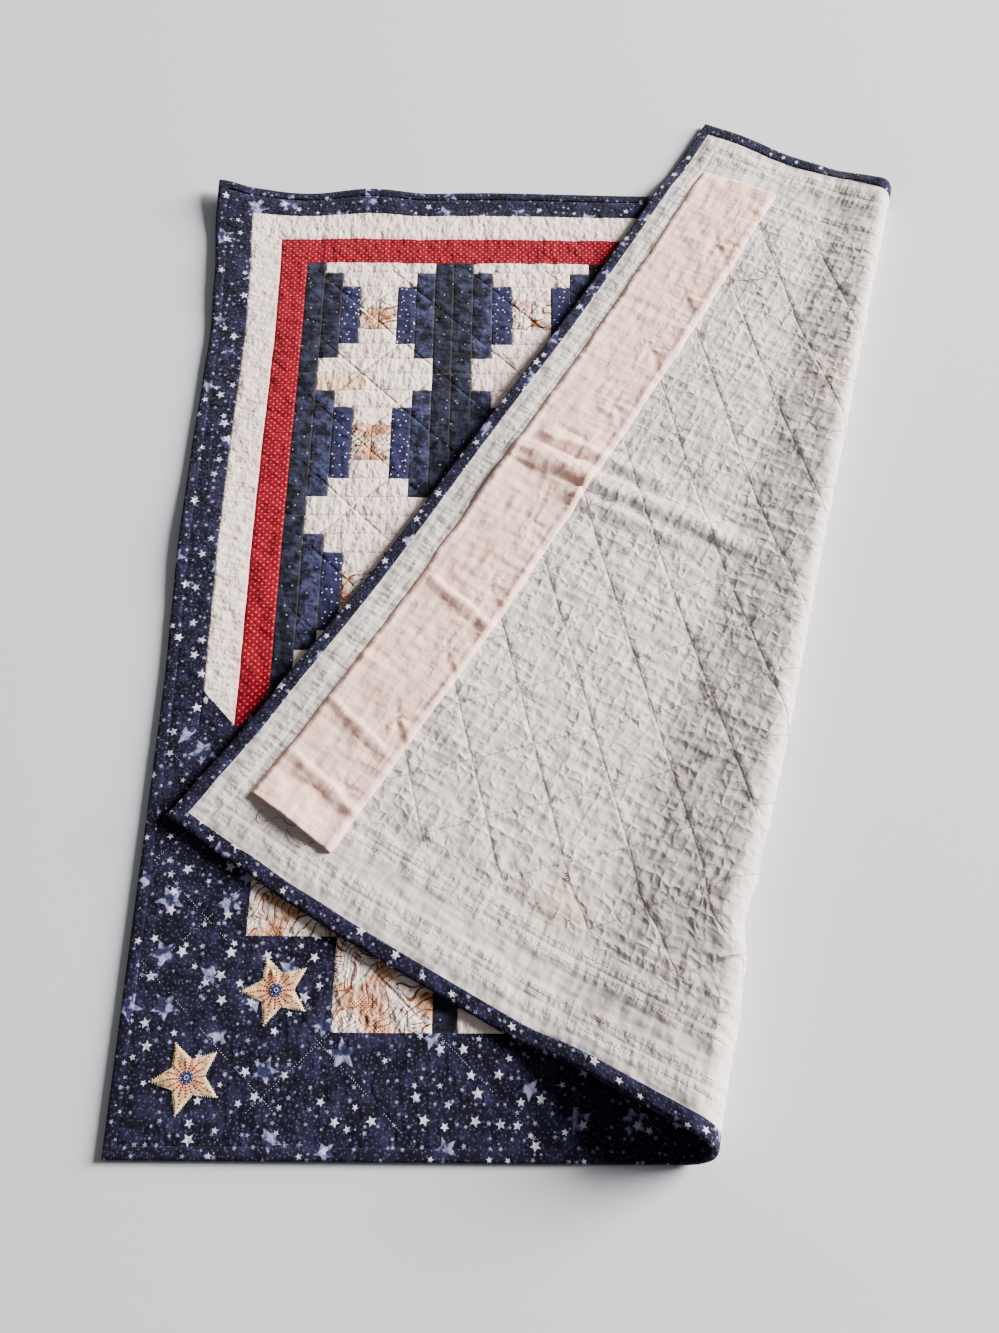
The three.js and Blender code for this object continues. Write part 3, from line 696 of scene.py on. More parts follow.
def star_edge_places(centre_s, centre_t, turn, count=150, inwards=0.6 * MM, step=0.01):
    """Places of short stitches over the star's outline, pointing outwards."""
    ends = []
    for k in (0, step):
        angle = np.arange(count) / count * 2 * math.pi + k
        radius = star_radius(angle) - inwards
        ends.append((radius * np.cos(angle + turn), radius * np.sin(angle + turn)))
    (x, y), (ahead_x, ahead_y) = ends
    return stitch_places(centre_s + x, centre_t + y, ahead_y - y, x - ahead_x)


def star_lift(s, t):
    """Height of the front with a star on it."""
    return front_lift(s, t) + STAR["dome"] + STAR["hem"]


def embroidery(number, *star):
    """Threads on a star: rust spokes with knots at their ends, a navy centre in a pale ring, a straw edge."""
    # Radii in millimetres, stitches to a ring, whether they point outwards, first angle, thread,
    # then length, seed, width and height off the cloth.
    rings = (("spokes", (9.3, 12.3, 15.3, 18.3), 16, True, 0, rust_thread, 2.5, 10, 1.8, 0.5),
             ("knots", (21.5, 25.5, 29), 5, True, 0.05, rust_thread, 1.8, 20, 1.8, 0.4),
             ("centre", (1, 2.8, 4.6, 6.4), 17, False, 0, navy_thread, 2.4, 30, 1.9, 0.4),
             ("pale_ring", (2, 5.6), 8, True, 0, sky_thread, 1.5, 40, 1.2, 0.9))
    pieces = []
    for word, radii, count, outwards, first, thread, length, seed, width, off in rings:
        places = ring_places(*star, np.array(radii) * MM, count, outwards, first)
        pieces.append(sewn(f"star_{number}_{word}", places, star_lift, 1, thread, length * MM, seed + number,
                           width * MM, off * MM))
    edging = sewn(f"star_{number}_edging", star_edge_places(*star), front_lift, 1, straw_thread, 3.2 * MM,
                  50 + number, 0.7 * MM, 0.7 * MM)
    return pieces + [edging]


def stitch_points(name, places, lift, side, off, step=1 * MM):
    """A mesh of loose points with the thread's direction and the cloth's outward direction."""
    s, t, ds, dt = places.T
    before, here, after = (on_face(s + k * ds, t + k * dt, lift, side, off) for k in (-step, 0, step))
    mesh = bpy.data.meshes.new(name)
    mesh.from_pydata(here.tolist(), [], [])
    give(mesh, "along", "FLOAT_VECTOR", "POINT", after - before)
    give(mesh, "out", "FLOAT_VECTOR", "POINT", cloth_up(s, t) * side)
    return placed(name, mesh)


def stitch_tree():
    """Node tree that lays one bead of thread on each point, turned along the row."""
    tree = bpy.data.node_groups.new("beads of thread", "GeometryNodeTree")
    for kind, words in (("Geometry", ("Points",)), ("Float", ("Length", "Width", "Height", "Unevenness")),
                        ("Int", ("Seed",)), ("Material", ("Thread",))):
        for word in words:
            tree.interface.new_socket(word, in_out="INPUT", socket_type="NodeSocket" + kind)
    tree.interface.new_socket("Beads", in_out="OUTPUT", socket_type="NodeSocketGeometry")
    given = add(tree, "NodeGroupInput").outputs
    along, out = (add(tree, "GeometryNodeInputNamedAttribute", {"Name": word}, data_type="FLOAT_VECTOR")
                  for word in ("along", "out"))
    first = add(tree, "FunctionNodeAlignRotationToVector", {"Vector": along.outputs["Attribute"]}, axis="X")
    second = add(tree, "FunctionNodeAlignRotationToVector",
                 {"Rotation": first.outputs[0], "Vector": out.outputs["Attribute"]}, axis="Z", pivot_axis="X")
    bead = add(tree, "GeometryNodeMeshIcoSphere", {"Radius": 0.5, "Subdivisions": 1})
    low, high = (add(tree, "Math " + word, 1.0, given["Unevenness"]) for word in ("SUBTRACT", "ADD"))
    vary = add(tree, "FunctionNodeRandomValue", {2: low, 3: high, "Seed": given["Seed"]}, data_type="FLOAT")
    longer = add(tree, "Math MULTIPLY", given["Length"], vary.outputs[1])
    size = add(tree, "CombineXYZ", longer, given["Width"], given["Height"])
    laid = add(tree, "GeometryNodeInstanceOnPoints",
               {"Points": given["Points"], "Instance": bead.outputs["Mesh"], "Rotation": second.outputs[0],
                "Scale": size})
    real = add(tree, "GeometryNodeRealizeInstances", {"Geometry": laid.outputs[0]})
    dyed = add(tree, "GeometryNodeSetMaterial", {"Geometry": real.outputs[0], "Material": given["Thread"]})
    add(tree, "NodeGroupOutput", {"Beads": dyed.outputs[0]})
    return tree


def sewn(name, places, lift, side, thread, length, seed, width, off=0.1 * MM):
    """A row of stitches on one face: runs the tree on its points and keeps the result as a plain mesh."""
    piece = stitch_points(name, places, lift, side, off)
    way = piece.modifiers.new("beads", "NODES")
    way.node_group = beads
    values = {"Length": length, "Width": width, "Height": 0.5 * MM, "Unevenness": 0.25, "Seed": seed,
              "Thread": thread}
    for item in beads.interface.items_tree:
        if item.in_out == "INPUT" and item.name in values:
            way[item.identifier] = values[item.name]
    bpy.context.view_layer.update()
    laid = piece.evaluated_get(bpy.context.evaluated_depsgraph_get())
    mesh = bpy.data.meshes.new_from_object(laid)
    piece.modifiers.remove(way)
    piece.data = mesh
    mesh.shade_smooth()
    return piece


def thread_tube(name, path, radius, thread, sides=6):
    """A round thread through the given points, thinner at its two ends."""
    away = np.gradient(path, axis=0)
    aside = np.cross(away, (0.1, 0.2, 1))
    over = np.cross(away, aside)
    aside, over = ((way / np.linalg.norm(way, axis=1, keepdims=True))[:, None] for way in (aside, over))
    turns = (np.arange(sides) / sides * 2 * math.pi)[:, None]
    count = len(path)
    from_end = np.minimum(np.arange(count), np.arange(count)[::-1])
    thick = radius * np.minimum(1, from_end * 0.5 + 0.5)
    points = path[:, None] + (np.cos(turns) * aside + np.sin(turns) * over) * thick[:, None, None]
    faces = tube_faces(count, sides) + [range(sides), range((count - 1) * sides, count * sides)]
    return tidy_mesh(new_piece(name, points.reshape(-1, 3), faces), thread)


# Materials. Every cloth is washed cotton: matt, with a faint sheen from its loose fibres.

# The setting that a second word in a node's kind stands for.
MAIN_SETTING = {"Math": "operation", "VectorMath": "operation", "Mix": "data_type", "UVMap": "uv_map",
                "MapRange": "interpolation_type", "Attribute": "attribute_name"}


def hex_colour(code):
    """A colour of eight bits a channel as linear light."""
    parts = [int(code[k:k + 2], 16) / 255 for k in (1, 3, 5)]
    return tuple(c / 12.92 if c <= 0.04045 else ((c + 0.055) / 1.055) ** 2.4 for c in parts) + (1,)


def add(tree, kind, *inputs, **settings):
    """Adds a node with its settings. Its inputs come in order, or in one dict by name or number: a value, a
    hex colour, a node or a node's output. Patterns lie on flat cloth, so they have two dimensions."""
    kind, _, choice = kind.partition(" ")
    if choice:
        settings[MAIN_SETTING[kind]] = choice
    node = tree.nodes.new(kind if "Node" in kind else "ShaderNode" + kind)
    for word in ("noise_dimensions", "voronoi_dimensions"):
        if hasattr(node, word):
            setattr(node, word, "2D")
    for word, value in settings.items():
        setattr(node, word, value)
    given = inputs[0] if inputs and isinstance(inputs[0], dict) else dict(enumerate(inputs))
    for socket, value in given.items():
        if isinstance(value, bpy.types.Node):
            value = next(output for output in value.outputs if output.enabled)
        if isinstance(value, bpy.types.NodeSocket):
            tree.links.new(value, node.inputs[socket])
        else:
            coloured = isinstance(value, str) and value[0] == "#"
            node.inputs[socket].default_value = hex_colour(value) if coloured else value
    return node


def washed_cotton(name, dyed, crinkled, depth=1.2 * MM, strength=0.6):
    """A cotton cloth. dyed and crinkled draw its colour and its height with nodes."""
    material = bpy.data.materials.new(name)
    material.use_nodes = True
    tree = material.node_tree
    tree.nodes.clear()
    flat = add(tree, "UVMap flat")
    height = crinkled(tree, flat)
    raised = add(tree, "Bump", {"Strength": strength, "Distance": depth, "Height": height})
    body = add(tree, "BsdfPrincipled",
               {"Base Color": dyed(tree, flat), "Roughness": 0.92, "Normal": raised, "Sheen Weight": 0.06,
                "Sheen Roughness": 0.5, "Specular IOR Level": 0.1})
    add(tree, "OutputMaterial", {"Surface": body})
    return material


def plain_finish(name, colour, roughness=0.75, shine=0.25):
    """One even colour. As it stands it is sewing thread: twisted cotton, a little smoother than the cloth."""
    material = bpy.data.materials.new(name)
    material.use_nodes = True
    body = material.node_tree.nodes["Principled BSDF"]
    body.inputs["Base Color"].default_value = hex_colour(colour)
    body.inputs["Roughness"].default_value = roughness
    body.inputs["Specular IOR Level"].default_value = shine
    return material


def patches(tree, flat, size, low, high, least=0.0, most=1.0, detail=2.0, roughness=0.5, curve="LINEAR"):
    """Soft random patches about one size across, from least to most as the noise goes from low to high."""
    settings = {"Vector": flat, "Scale": 1 / size, "Detail": detail, "Roughness": roughness}
    return add(tree, "MapRange " + curve, add(tree, "TexNoise", settings), low, high, least, most)


def spots(tree, flat, cell, outer, inner, scatter=1.0, most=1.0):
    """Round spots, one to a cell, that fade out between an inner and an outer share of the cell."""
    cells = add(tree, "TexVoronoi", {"Vector": flat, "Scale": 1 / cell, "Randomness": scatter})
    return add(tree, "MapRange SMOOTHSTEP", cells, outer, inner, 0, most)


def dyed_over(tree, shade, *layers):
    """A shade with other colours laid over it in turn, each as strongly as its amount says."""
    for amount, colour in layers:
        shade = add(tree, "Mix RGBA", {0: amount, 6: shade, 7: colour})
    return shade


def heaped(tree, *parts):
    """The sum of heights, each times its weight."""
    total = 0.0
    for height, weight in parts:
        total = add(tree, "Math MULTIPLY_ADD", height, weight, total)
    return total


def edge_places(tree, flat):
    """Distances in metres from the nearer upright edge and from the nearer level one."""
    axes = add(tree, "SeparateXYZ", flat)
    return [add(tree, "Math PINGPONG", axes.outputs[k], SIDE / 2) for k in (0, 1)]


def edge_distance(tree, flat):
    return add(tree, "Math MINIMUM", *edge_places(tree, flat))


def sewn_distance(tree, flat, rows=()):
    """Distance in metres from the nearest quilting line of the field, or from the nearest row round it."""
    axes = add(tree, "SeparateXYZ", flat)
    near = []
    for word, offset in (("ADD", QUILTING["sum"]), ("SUBTRACT", QUILTING["difference"])):
        place = add(tree, "Math " + word, axes.outputs[0], axes.outputs[1])
        strips = add(tree, "Math MULTIPLY_ADD", place, 1 / STRIP, -offset)
        folded = add(tree, "Math PINGPONG", strips, QUILTING["pitch"] / 2)
        near.append(add(tree, "Math MULTIPLY", folded, STRIP / math.sqrt(2)))
    line = add(tree, "Math MINIMUM", *near)
    inset = edge_distance(tree, flat)
    row = FAR
    for place in rows:
        off = add(tree, "Math SUBTRACT", inset, place)
        row = add(tree, "Math MINIMUM", add(tree, "Math ABSOLUTE", off), row)
    inside = add(tree, "Math GREATER_THAN", inset, QUILTING["field"] * STRIP)
    return add(tree, "Mix FLOAT", {0: inside, 2: row, 3: line})


def log_ridges(tree, flat):
    """Soft waffle where the turned-in seams of the front show through, half a strip apart both ways."""
    waver = add(tree, "TexNoise", {"Vector": flat, "Scale": 1 / (20 * MM), "Detail": 1.0})
    shift = add(tree, "VectorMath SUBTRACT", waver.outputs["Color"], (0.5, 0.5, 0.5))
    moved = add(tree, "VectorMath MULTIPLY_ADD", shift, (14 * MM,) * 3, flat)
    axes = add(tree, "SeparateXYZ", moved)
    near = []
    for axis, start in zip(axes.outputs, (FIELD_LEFT, FIELD_LOW)):
        strips = add(tree, "Math MULTIPLY_ADD", axis, 1 / STRIP, -start)
        near.append(add(tree, "Math PINGPONG", strips, 0.25))
    seam = add(tree, "Math SMOOTH_MIN", *near, 0.08)
    ridge = add(tree, "MapRange SMOOTHSTEP", seam, 0.2, -0.02)
    kept = patches(tree, flat, 21 * MM, 0.34, 0.66, 0.1)
    field = FIELD_LEFT * STRIP
    pieced = add(tree, "MapRange", edge_distance(tree, flat), field - 4 * MM, field + 4 * MM, 0.15)
    return add(tree, "Math MULTIPLY", ridge, add(tree, "Math MULTIPLY", kept, pieced))


def crinkles(tree, flat):
    """Height of washed cotton: fine crinkles over softer ones. The weave itself is too fine to draw."""
    soft, fine = (add(tree, "TexNoise", {"Vector": flat, "Scale": 1 / size}) for size in (11 * MM, 5 * MM))
    return add(tree, "Math MULTIPLY_ADD", soft, 2.2, fine)


def crossed_ripples(tree, flat, narrow, long, detail):
    """Two heights of soft ripples: the first run up the cloth and the second across it."""
    ripples = []
    for across, up in ((narrow, long), (long, narrow)):
        place = add(tree, "VectorMath MULTIPLY", flat, (1 / across, 1 / up, 1))
        ripples.append(add(tree, "TexNoise", {"Vector": place, "Scale": 1.0, "Detail": detail}))
    return ripples


def seam_puckers(tree, flat):
    """Height of pieced cloth: short ripples that run off the seams, and the sunken seams themselves."""
    seam, upright = (add(tree, "Attribute " + word).outputs["Fac"] for word in ("seam", "upright"))
    up, across = crossed_ripples(tree, flat, 7 * MM, 16 * MM, 0.8)
    ripple = add(tree, "Mix FLOAT", {0: upright, 2: up, 3: across})
    sunk = add(tree, "Math POWER", seam, 4.0)
    ditch = add(tree, "MapRange SMOOTHSTEP", sewn_distance(tree, flat), 3 * MM, 0, 0, 0.9)
    return heaped(tree, (crinkles(tree, flat), 1), (ripple, 2.2), (sunk, -1), (ditch, -1))


def star_marks(tree, flat, cell, smallest, largest, share, shift):
    """Five-point stars scattered one to a cell, with tips between two radii, in a share of the cells."""
    place = add(tree, "VectorMath ADD", flat, (shift, shift * 0.7, 0))
    cells = add(tree, "TexVoronoi", {"Vector": place, "Scale": 1 / cell, "Randomness": 0.8})
    local = add(tree, "VectorMath SUBTRACT", place, cells.outputs["Position"])
    axes = add(tree, "SeparateXYZ", local)
    dice = add(tree, "SeparateColor", cells.outputs["Color"])
    angle = add(tree, "Math ARCTAN2", axes.outputs[1], axes.outputs[0])
    turned = add(tree, "Math MULTIPLY_ADD", dice.outputs[0], 2 * math.pi, angle)
    folded = add(tree, "Math PINGPONG", turned, math.pi / 5)
    cosine, sine = (add(tree, "Math " + word, folded) for word in ("COSINE", "SINE"))
    waist = add(tree, "Math MULTIPLY_ADD", sine, 2.4, cosine)
    out = add(tree, "Math MULTIPLY", add(tree, "VectorMath LENGTH", local), waist)
    tip = add(tree, "MapRange", {0: dice.outputs[1], 3: smallest, 4: largest})
    inside = add(tree, "MapRange SMOOTHSTEP", add(tree, "Math DIVIDE", out, tip), 1.12, 0.88)
    chosen = add(tree, "Math LESS_THAN", dice.outputs[2], share)
    return add(tree, "Math MULTIPLY", inside, chosen)


def pin_dots(tree, flat, pitch, radius):
    """Dots on an even lattice that stands on its corner."""
    place = add(tree, "Mapping", {"Vector": flat, "Rotation": (0, 0, math.radians(45))})
    return spots(tree, place, pitch, 1.25 * radius / pitch, 0.75 * radius / pitch, 0.0)


def navy_star_print(tree, flat):
    """Near-black navy with cloudy violet, a dust of dots, and stars of three sizes."""
    cloudy = patches(tree, flat, 26 * MM, 0.44, 0.78, most=0.85, detail=3.0, roughness=0.6)
    dust = spots(tree, flat, 5.2 * MM, 0.26, 0.12, most=0.5)
    lighter = patches(tree, flat, 11 * MM, 0.42, 0.62, curve="SMOOTHSTEP")
    glow = dyed_over(tree, "#2A2A48", (lighter, "#8B8DAE"))
    layers = [(cloudy, "#2A2541"), (dust, "#4C4A72")]
    for cell, smallest, largest, share, shift, colour in (
            (54 * MM, 11 * MM, 17 * MM, 0.7, 0.3, glow), (11 * MM, 1.4 * MM, 3 * MM, 0.55, 0.7, "#7C7A94"),
            (23 * MM, 3 * MM, 6.6 * MM, 0.5, 0.0, "#C6C5D2")):
        layers.append((star_marks(tree, flat, cell, smallest, largest, share, shift), colour))
    return dyed_over(tree, "#0F0C19", *layers)


def seam_shadow(tree, shade, strength=0.22):
    """A colour with painted shade in the seams, where the cloths turn under and sink."""
    narrow = add(tree, "Math POWER", add(tree, "Attribute seam").outputs["Fac"], 5.0)
    # Painted shade: the seam mask lays a dark brown over the cloth's colour.
    return dyed_over(tree, shade, (add(tree, "Math MULTIPLY", narrow, strength), "#4A3F38"))


def cream_cotton(tree, flat):
    """Cream, a little different from log to log, peach in one, and pinkish where the red dye ran into it."""
    dice = add(tree, "Attribute tone").outputs["Fac"]
    axes = add(tree, "SeparateXYZ", flat)
    left = add(tree, "Math MULTIPLY_ADD", axes.outputs[0], -1 / STRIP, SEAMS_LEFT[1])
    top = add(tree, "Math MULTIPLY_ADD", axes.outputs[1], 1 / STRIP, SEAMS_TOP[1] - SIDE / STRIP)
    beside_red = add(tree, "Math MAXIMUM", left, top)
    ran = add(tree, "MapRange SMOOTHSTEP", beside_red, 0.3, 0.05, 0, 0.5)
    bordering = add(tree, "Math GREATER_THAN", beside_red, -0.1)
    shade = dyed_over(tree, "#FFE8DB", (dice, "#FBDFD0"),
                      (add(tree, "Math GREATER_THAN", dice, 0.95), "#F5C49C"),
                      (patches(tree, flat, 35 * MM, 0.5, 0.8, most=0.5, detail=3.0), "#E6CDBA"),
                      (add(tree, "Math MULTIPLY", ran, bordering), "#F29AA4"))
    return seam_shadow(tree, shade)


def red_pin_dots(tree, flat):
    """Bright red with pale pink pin dots 8.4 mm apart."""
    dots = pin_dots(tree, flat, 8.4 * MM / math.sqrt(2), 0.9 * MM)
    return seam_shadow(tree, dyed_over(tree, "#800012", (dots, "#D06C84")), 0.3)


def brown_sprig_print(tree, flat):
    """Flowing brown lines, a few dotted leaves and peach shading on cream: a plain sprig print."""
    shaded = patches(tree, flat, 34 * MM, 0.45, 0.62, most=0.85, detail=1.0)
    leaf = patches(tree, flat, 34 * MM, 0.68, 0.7, detail=1.0)
    layers = [(shaded, "#D3966C")]
    bent = add(tree, "TexNoise", {"Vector": flat, "Scale": 1 / (38 * MM), "Detail": 0.0})
    warped = add(tree, "VectorMath MULTIPLY_ADD", bent.outputs["Color"], (44 * MM,) * 3, flat)
    for angle, pitch, low, width in ((35, 8 * MM, 0.38, 0.11), (-40, 3.4 * MM, 0.5, 0.2)):
        place = add(tree, "Mapping", {"Vector": warped, "Rotation": (0, 0, math.radians(angle))})
        steps = add(tree, "Math MULTIPLY", add(tree, "SeparateXYZ", place), 1 / pitch)
        folded = add(tree, "Math PINGPONG", steps, 0.5)
        stroke = add(tree, "MapRange SMOOTHSTEP", folded, width * 1.2, width * 0.6)
        drawn = patches(tree, place, 16 * MM, low, low + 0.08, curve="SMOOTHSTEP")
        layers.append((add(tree, "Math MULTIPLY", stroke, drawn), "#8A4526"))
    dotted = add(tree, "Math MULTIPLY", leaf, pin_dots(tree, flat, 2.8 * MM, 0.8 * MM))
    return seam_shadow(tree, dyed_over(tree, "#F6E6DA", *layers, (dotted, "#6E3118")))


def indigo_pin_dots(tree, flat):
    """Indigo with scattered white pin dots."""
    clouds = add(tree, "TexNoise", {"Vector": flat, "Scale": 1 / (20 * MM)})
    marks = spots(tree, flat, 10 * MM, 0.11, 0.06, 0.9)
    return seam_shadow(tree, dyed_over(tree, "#1C1A32", (clouds, "#303054"), (marks, "#E2E4F0")), 0.6)


def mottled(dark, light, speck):
    """A cloth dyed unevenly, from a dark to a light shade, nearly black in some logs."""
    def dyed(tree, flat):
        cloudy = patches(tree, flat, 17 * MM, 0.36, 0.66, detail=3.0, roughness=0.6, curve="SMOOTHSTEP")
        black = add(tree, "MapRange", add(tree, "Attribute tone").outputs["Fac"], 0.55, 0.95, 0, 0.9)
        specks = spots(tree, flat, 21 * MM, 0.055, 0.03)
        shade = dyed_over(tree, dark, (cloudy, light), (black, "#0D0E14"), (specks, speck))
        return seam_shadow(tree, shade, 0.6)
    return dyed


# Stains on the back: flat place and reach.
STAINS = [(843 * MM, 140 * MM, 75 * MM), (1069 * MM, 993 * MM, 45 * MM), (864 * MM, 915 * MM, 50 * MM)]


def plain_muslin(tree, flat):
    """Unbleached muslin: a painted highlight on the seam ridges, greyer between them where dark cloth lies
    behind, painted shade in the sunken sewn lines.
    """
    clouds = add(tree, "TexNoise", {"Vector": flat, "Scale": 1 / (60 * MM), "Detail": 3.0})
    strips = add(tree, "VectorMath MULTIPLY_ADD", flat, (1 / STRIP,) * 3, (-FIELD_LEFT, -FIELD_LOW, 0))
    dice = add(tree, "TexWhiteNoise", {"Vector": add(tree, "VectorMath FLOOR", strips)})
    field = FIELD_LEFT * STRIP
    inside = add(tree, "MapRange", edge_distance(tree, flat), field - 2 * MM, field + 2 * MM, 0, 0.22)
    # The last of these layers is a painted highlight: a paler colour on the seam ridges, where light catches
    # them.
    layers = [(clouds, "#D2C9C0"), (add(tree, "Math MULTIPLY", dice, inside), "#968E97"),
              (add(tree, "Math MULTIPLY", log_ridges(tree, flat), 0.3), "#EFE2DC")]
    for s, t, reach in STAINS:
        far = add(tree, "VectorMath DISTANCE", flat, (s, t, 0))
        near = add(tree, "MapRange SMOOTHSTEP", far, reach, 0, 0, 0.6)
        layers.append((add(tree, "Math MULTIPLY", near, clouds), "#D2AE7C"))
    # Painted shade: the sunken sewn lines are darkened in the colour.
    ditch = add(tree, "MapRange SMOOTHSTEP", sewn_distance(tree, flat), 1.5 * MM, 0.2 * MM, 0, 0.4)
    return dyed_over(tree, "#DDCDC9", *layers, (ditch, "#7D6E5C"))


def wrinkles(tree, flat, narrow, long):
    """Height of soft wrinkles that run both ways over each other."""
    return add(tree, "Math ADD", *crossed_ripples(tree, flat, narrow, long, 0.7))


def row_puckers(tree, flat, beside):
    """Height of short puckers that stand across the rows beside the edges, where beside is above nothing."""
    upright = add(tree, "Math LESS_THAN", *edge_places(tree, flat))
    up, across = crossed_ripples(tree, flat, 5 * MM, 26 * MM, 0.5)
    ripple = add(tree, "Mix FLOAT", {0: upright, 2: up, 3: across})
    border = add(tree, "Math LESS_THAN", edge_distance(tree, flat), QUILTING["field"] * STRIP)
    return add(tree, "Math MULTIPLY", ripple, add(tree, "Math MULTIPLY", beside, border))


def muslin_relief(tree, flat):
    """Height of the back: faint seam ridges, sunken sewn lines with small gathers, and wrinkles both ways."""
    ditch = add(tree, "MapRange SMOOTHSTEP", sewn_distance(tree, flat), 2.4 * MM, 0, 0, 0.9)
    beside = add(tree, "MapRange SMOOTHSTEP", sewn_distance(tree, flat, BORDER_ROWS), 12 * MM, 2 * MM, 0, 2.8)
    gathers = add(tree, "TexNoise", {"Vector": flat, "Scale": 1 / (7 * MM), "Detail": 1.0})
    return heaped(tree, (crinkles(tree, flat), 0.4), (log_ridges(tree, flat), 2.4),
                  (wrinkles(tree, flat, 11 * MM, 30 * MM), 4.2), (ditch, -1),
                  (row_puckers(tree, flat, beside), 1), (gathers, beside))


def peach_cotton(tree, flat):
    """Plain peach cotton, a little faded, with a painted highlight on the seam ridges that show through."""
    clouds = add(tree, "TexNoise", {"Vector": flat, "Scale": 1 / (45 * MM), "Detail": 3.0})
    # Painted highlight: a paler colour on the seam ridges below the sleeve.
    ridge = add(tree, "Math MULTIPLY", log_ridges(tree, flat), 0.25)
    return dyed_over(tree, "#FFD3C2", (clouds, "#F8C6B3"), (ridge, "#FFE0D2"))


def sleeve_relief(tree, flat):
    return heaped(tree, (crinkles(tree, flat), 0.5), (log_ridges(tree, flat), 0.7),
                  (wrinkles(tree, flat, 12 * MM, 38 * MM), 2.2))


def gold_cotton(tree, flat):
    """Tan cotton, pale and frayed towards the star's edge."""
    outer = add(tree, "MapRange", add(tree, "VectorMath LENGTH", flat), 12 * MM, 34 * MM)
    return dyed_over(tree, "#DD9E78", (outer, "#E2C48C"))


# Making the pieces. Their grids are fine where they show and coarse where the fold hides them.
FINE, COARSE = STRIP / 6, STRIP / 2
FRONT_HIDDEN_FROM = 36 * STRIP
BACK_SHOWN_FROM = 17


def log_lines(seams):
    """Places of all seams between logs, from the seams between blocks."""
    lines = [low + (high - low) * k / BLOCK for low, high in zip(seams, seams[1:]) for k in range(BLOCK)]
    return [line * STRIP for line in lines + [seams[-1]]]


def front_grid():
    """Grid lines of the pieced front, which run through all its seams."""
    columns = [0, BINDING["front"], *(x * STRIP for x in SEAMS_LEFT[:2]), *log_lines(BLOCK_COLUMNS), SIDE]
    rows = [0, BINDING["front"], *(line for line in log_lines(BLOCK_ROWS) if line < FIELD_TOP * STRIP),
            *(SIDE - x * STRIP for x in reversed(SEAMS_TOP)), SIDE]
    return (grid_lines(columns, [FINE if stop <= FRONT_HIDDEN_FROM else COARSE for stop in columns[1:]]),
            grid_lines(rows, [FINE] * len(rows)))


def back_grid():
    """Grid lines of the plain back, a whole number of steps to a strip."""
    count, edge = BLOCK * BLOCKS + 1, SIDE - BINDING["back"]
    columns = [0, *((FIELD_LEFT + k) * STRIP for k in range(BACK_SHOWN_FROM, count)), edge, SIDE]
    rows = [0, BINDING["back"], *((FIELD_LOW + k) * STRIP for k in range(count)), edge, SIDE]
    return grid_lines(columns, [COARSE] + [FINE] * len(columns)), grid_lines(rows, [FINE] * len(rows))


front_cloths = [washed_cotton("navy cotton, star print", navy_star_print, seam_puckers, strength=0.5),
                washed_cotton("cream cotton", cream_cotton, seam_puckers, 2.0 * MM, 0.5),
                washed_cotton("red cotton, pin dots", red_pin_dots, seam_puckers),
                washed_cotton("cream cotton, brown sprig print", brown_sprig_print, seam_puckers, 1.6 * MM,
                              0.8),
                washed_cotton("indigo cotton, pin dots", indigo_pin_dots, seam_puckers),
                washed_cotton("mottled blue cotton", mottled("#13131F", "#393B58", "#6C7198"), seam_puckers),
                washed_cotton("mottled slate cotton", mottled("#0F1019", "#2B2D40", "#9A9CA8"), seam_puckers)]
navy_strip = washed_cotton("navy cotton, star print, bias strip", navy_star_print, crinkles, strength=0.5)
muslin = washed_cotton("unbleached muslin", plain_muslin, muslin_relief, 1.0 * MM, 0.42)
peach = washed_cotton("peach cotton", peach_cotton, sleeve_relief, strength=0.5)
gold = washed_cotton("tan cotton, frayed", gold_cotton, crinkles)
tan_thread = plain_finish("tan quilting thread", "#6E583C")
orange_thread = plain_finish("orange quilting thread", "#B8925E")
white_thread = plain_finish("white quilting thread", "#D9DAE2")
rust_thread = plain_finish("rust embroidery thread", "#6E2A1A")
navy_thread = plain_finish("navy embroidery thread", "#20284F")
sky_thread = plain_finish("pale blue embroidery thread", "#9FB0D6")
straw_thread = plain_finish("straw edging thread", "#E8D8AE")

tip, left_end, right_end = (np.array(place) * STRIP for place in PENCIL_POINT)
cut_box = (left_end[0] - STRIP / 2, tip[1] - STRIP / 2), (right_end[0], left_end[1] + STRIP / 2)
pencil_cuts = [(tip, end, *cut_box) for end in (left_end, right_end)]
quilt_front = cloth_shell("pieced_front", front_grid(), front_lift, 1, cuts=pencil_cuts)
for cloth in front_cloths:
    quilt_front.data.materials.append(cloth)
set_cloths(quilt_front)
quilt_back = cloth_shell("plain_back", back_grid(), back_lift, -1, muslin)
binding = binding_piece("binding_strip", navy_strip)
sleeve = sleeve_piece("sleeve_band", peach)
stars = [star_piece(f"appliqued_star_{k + 1}", *star, gold) for k, star in enumerate(STARS)]

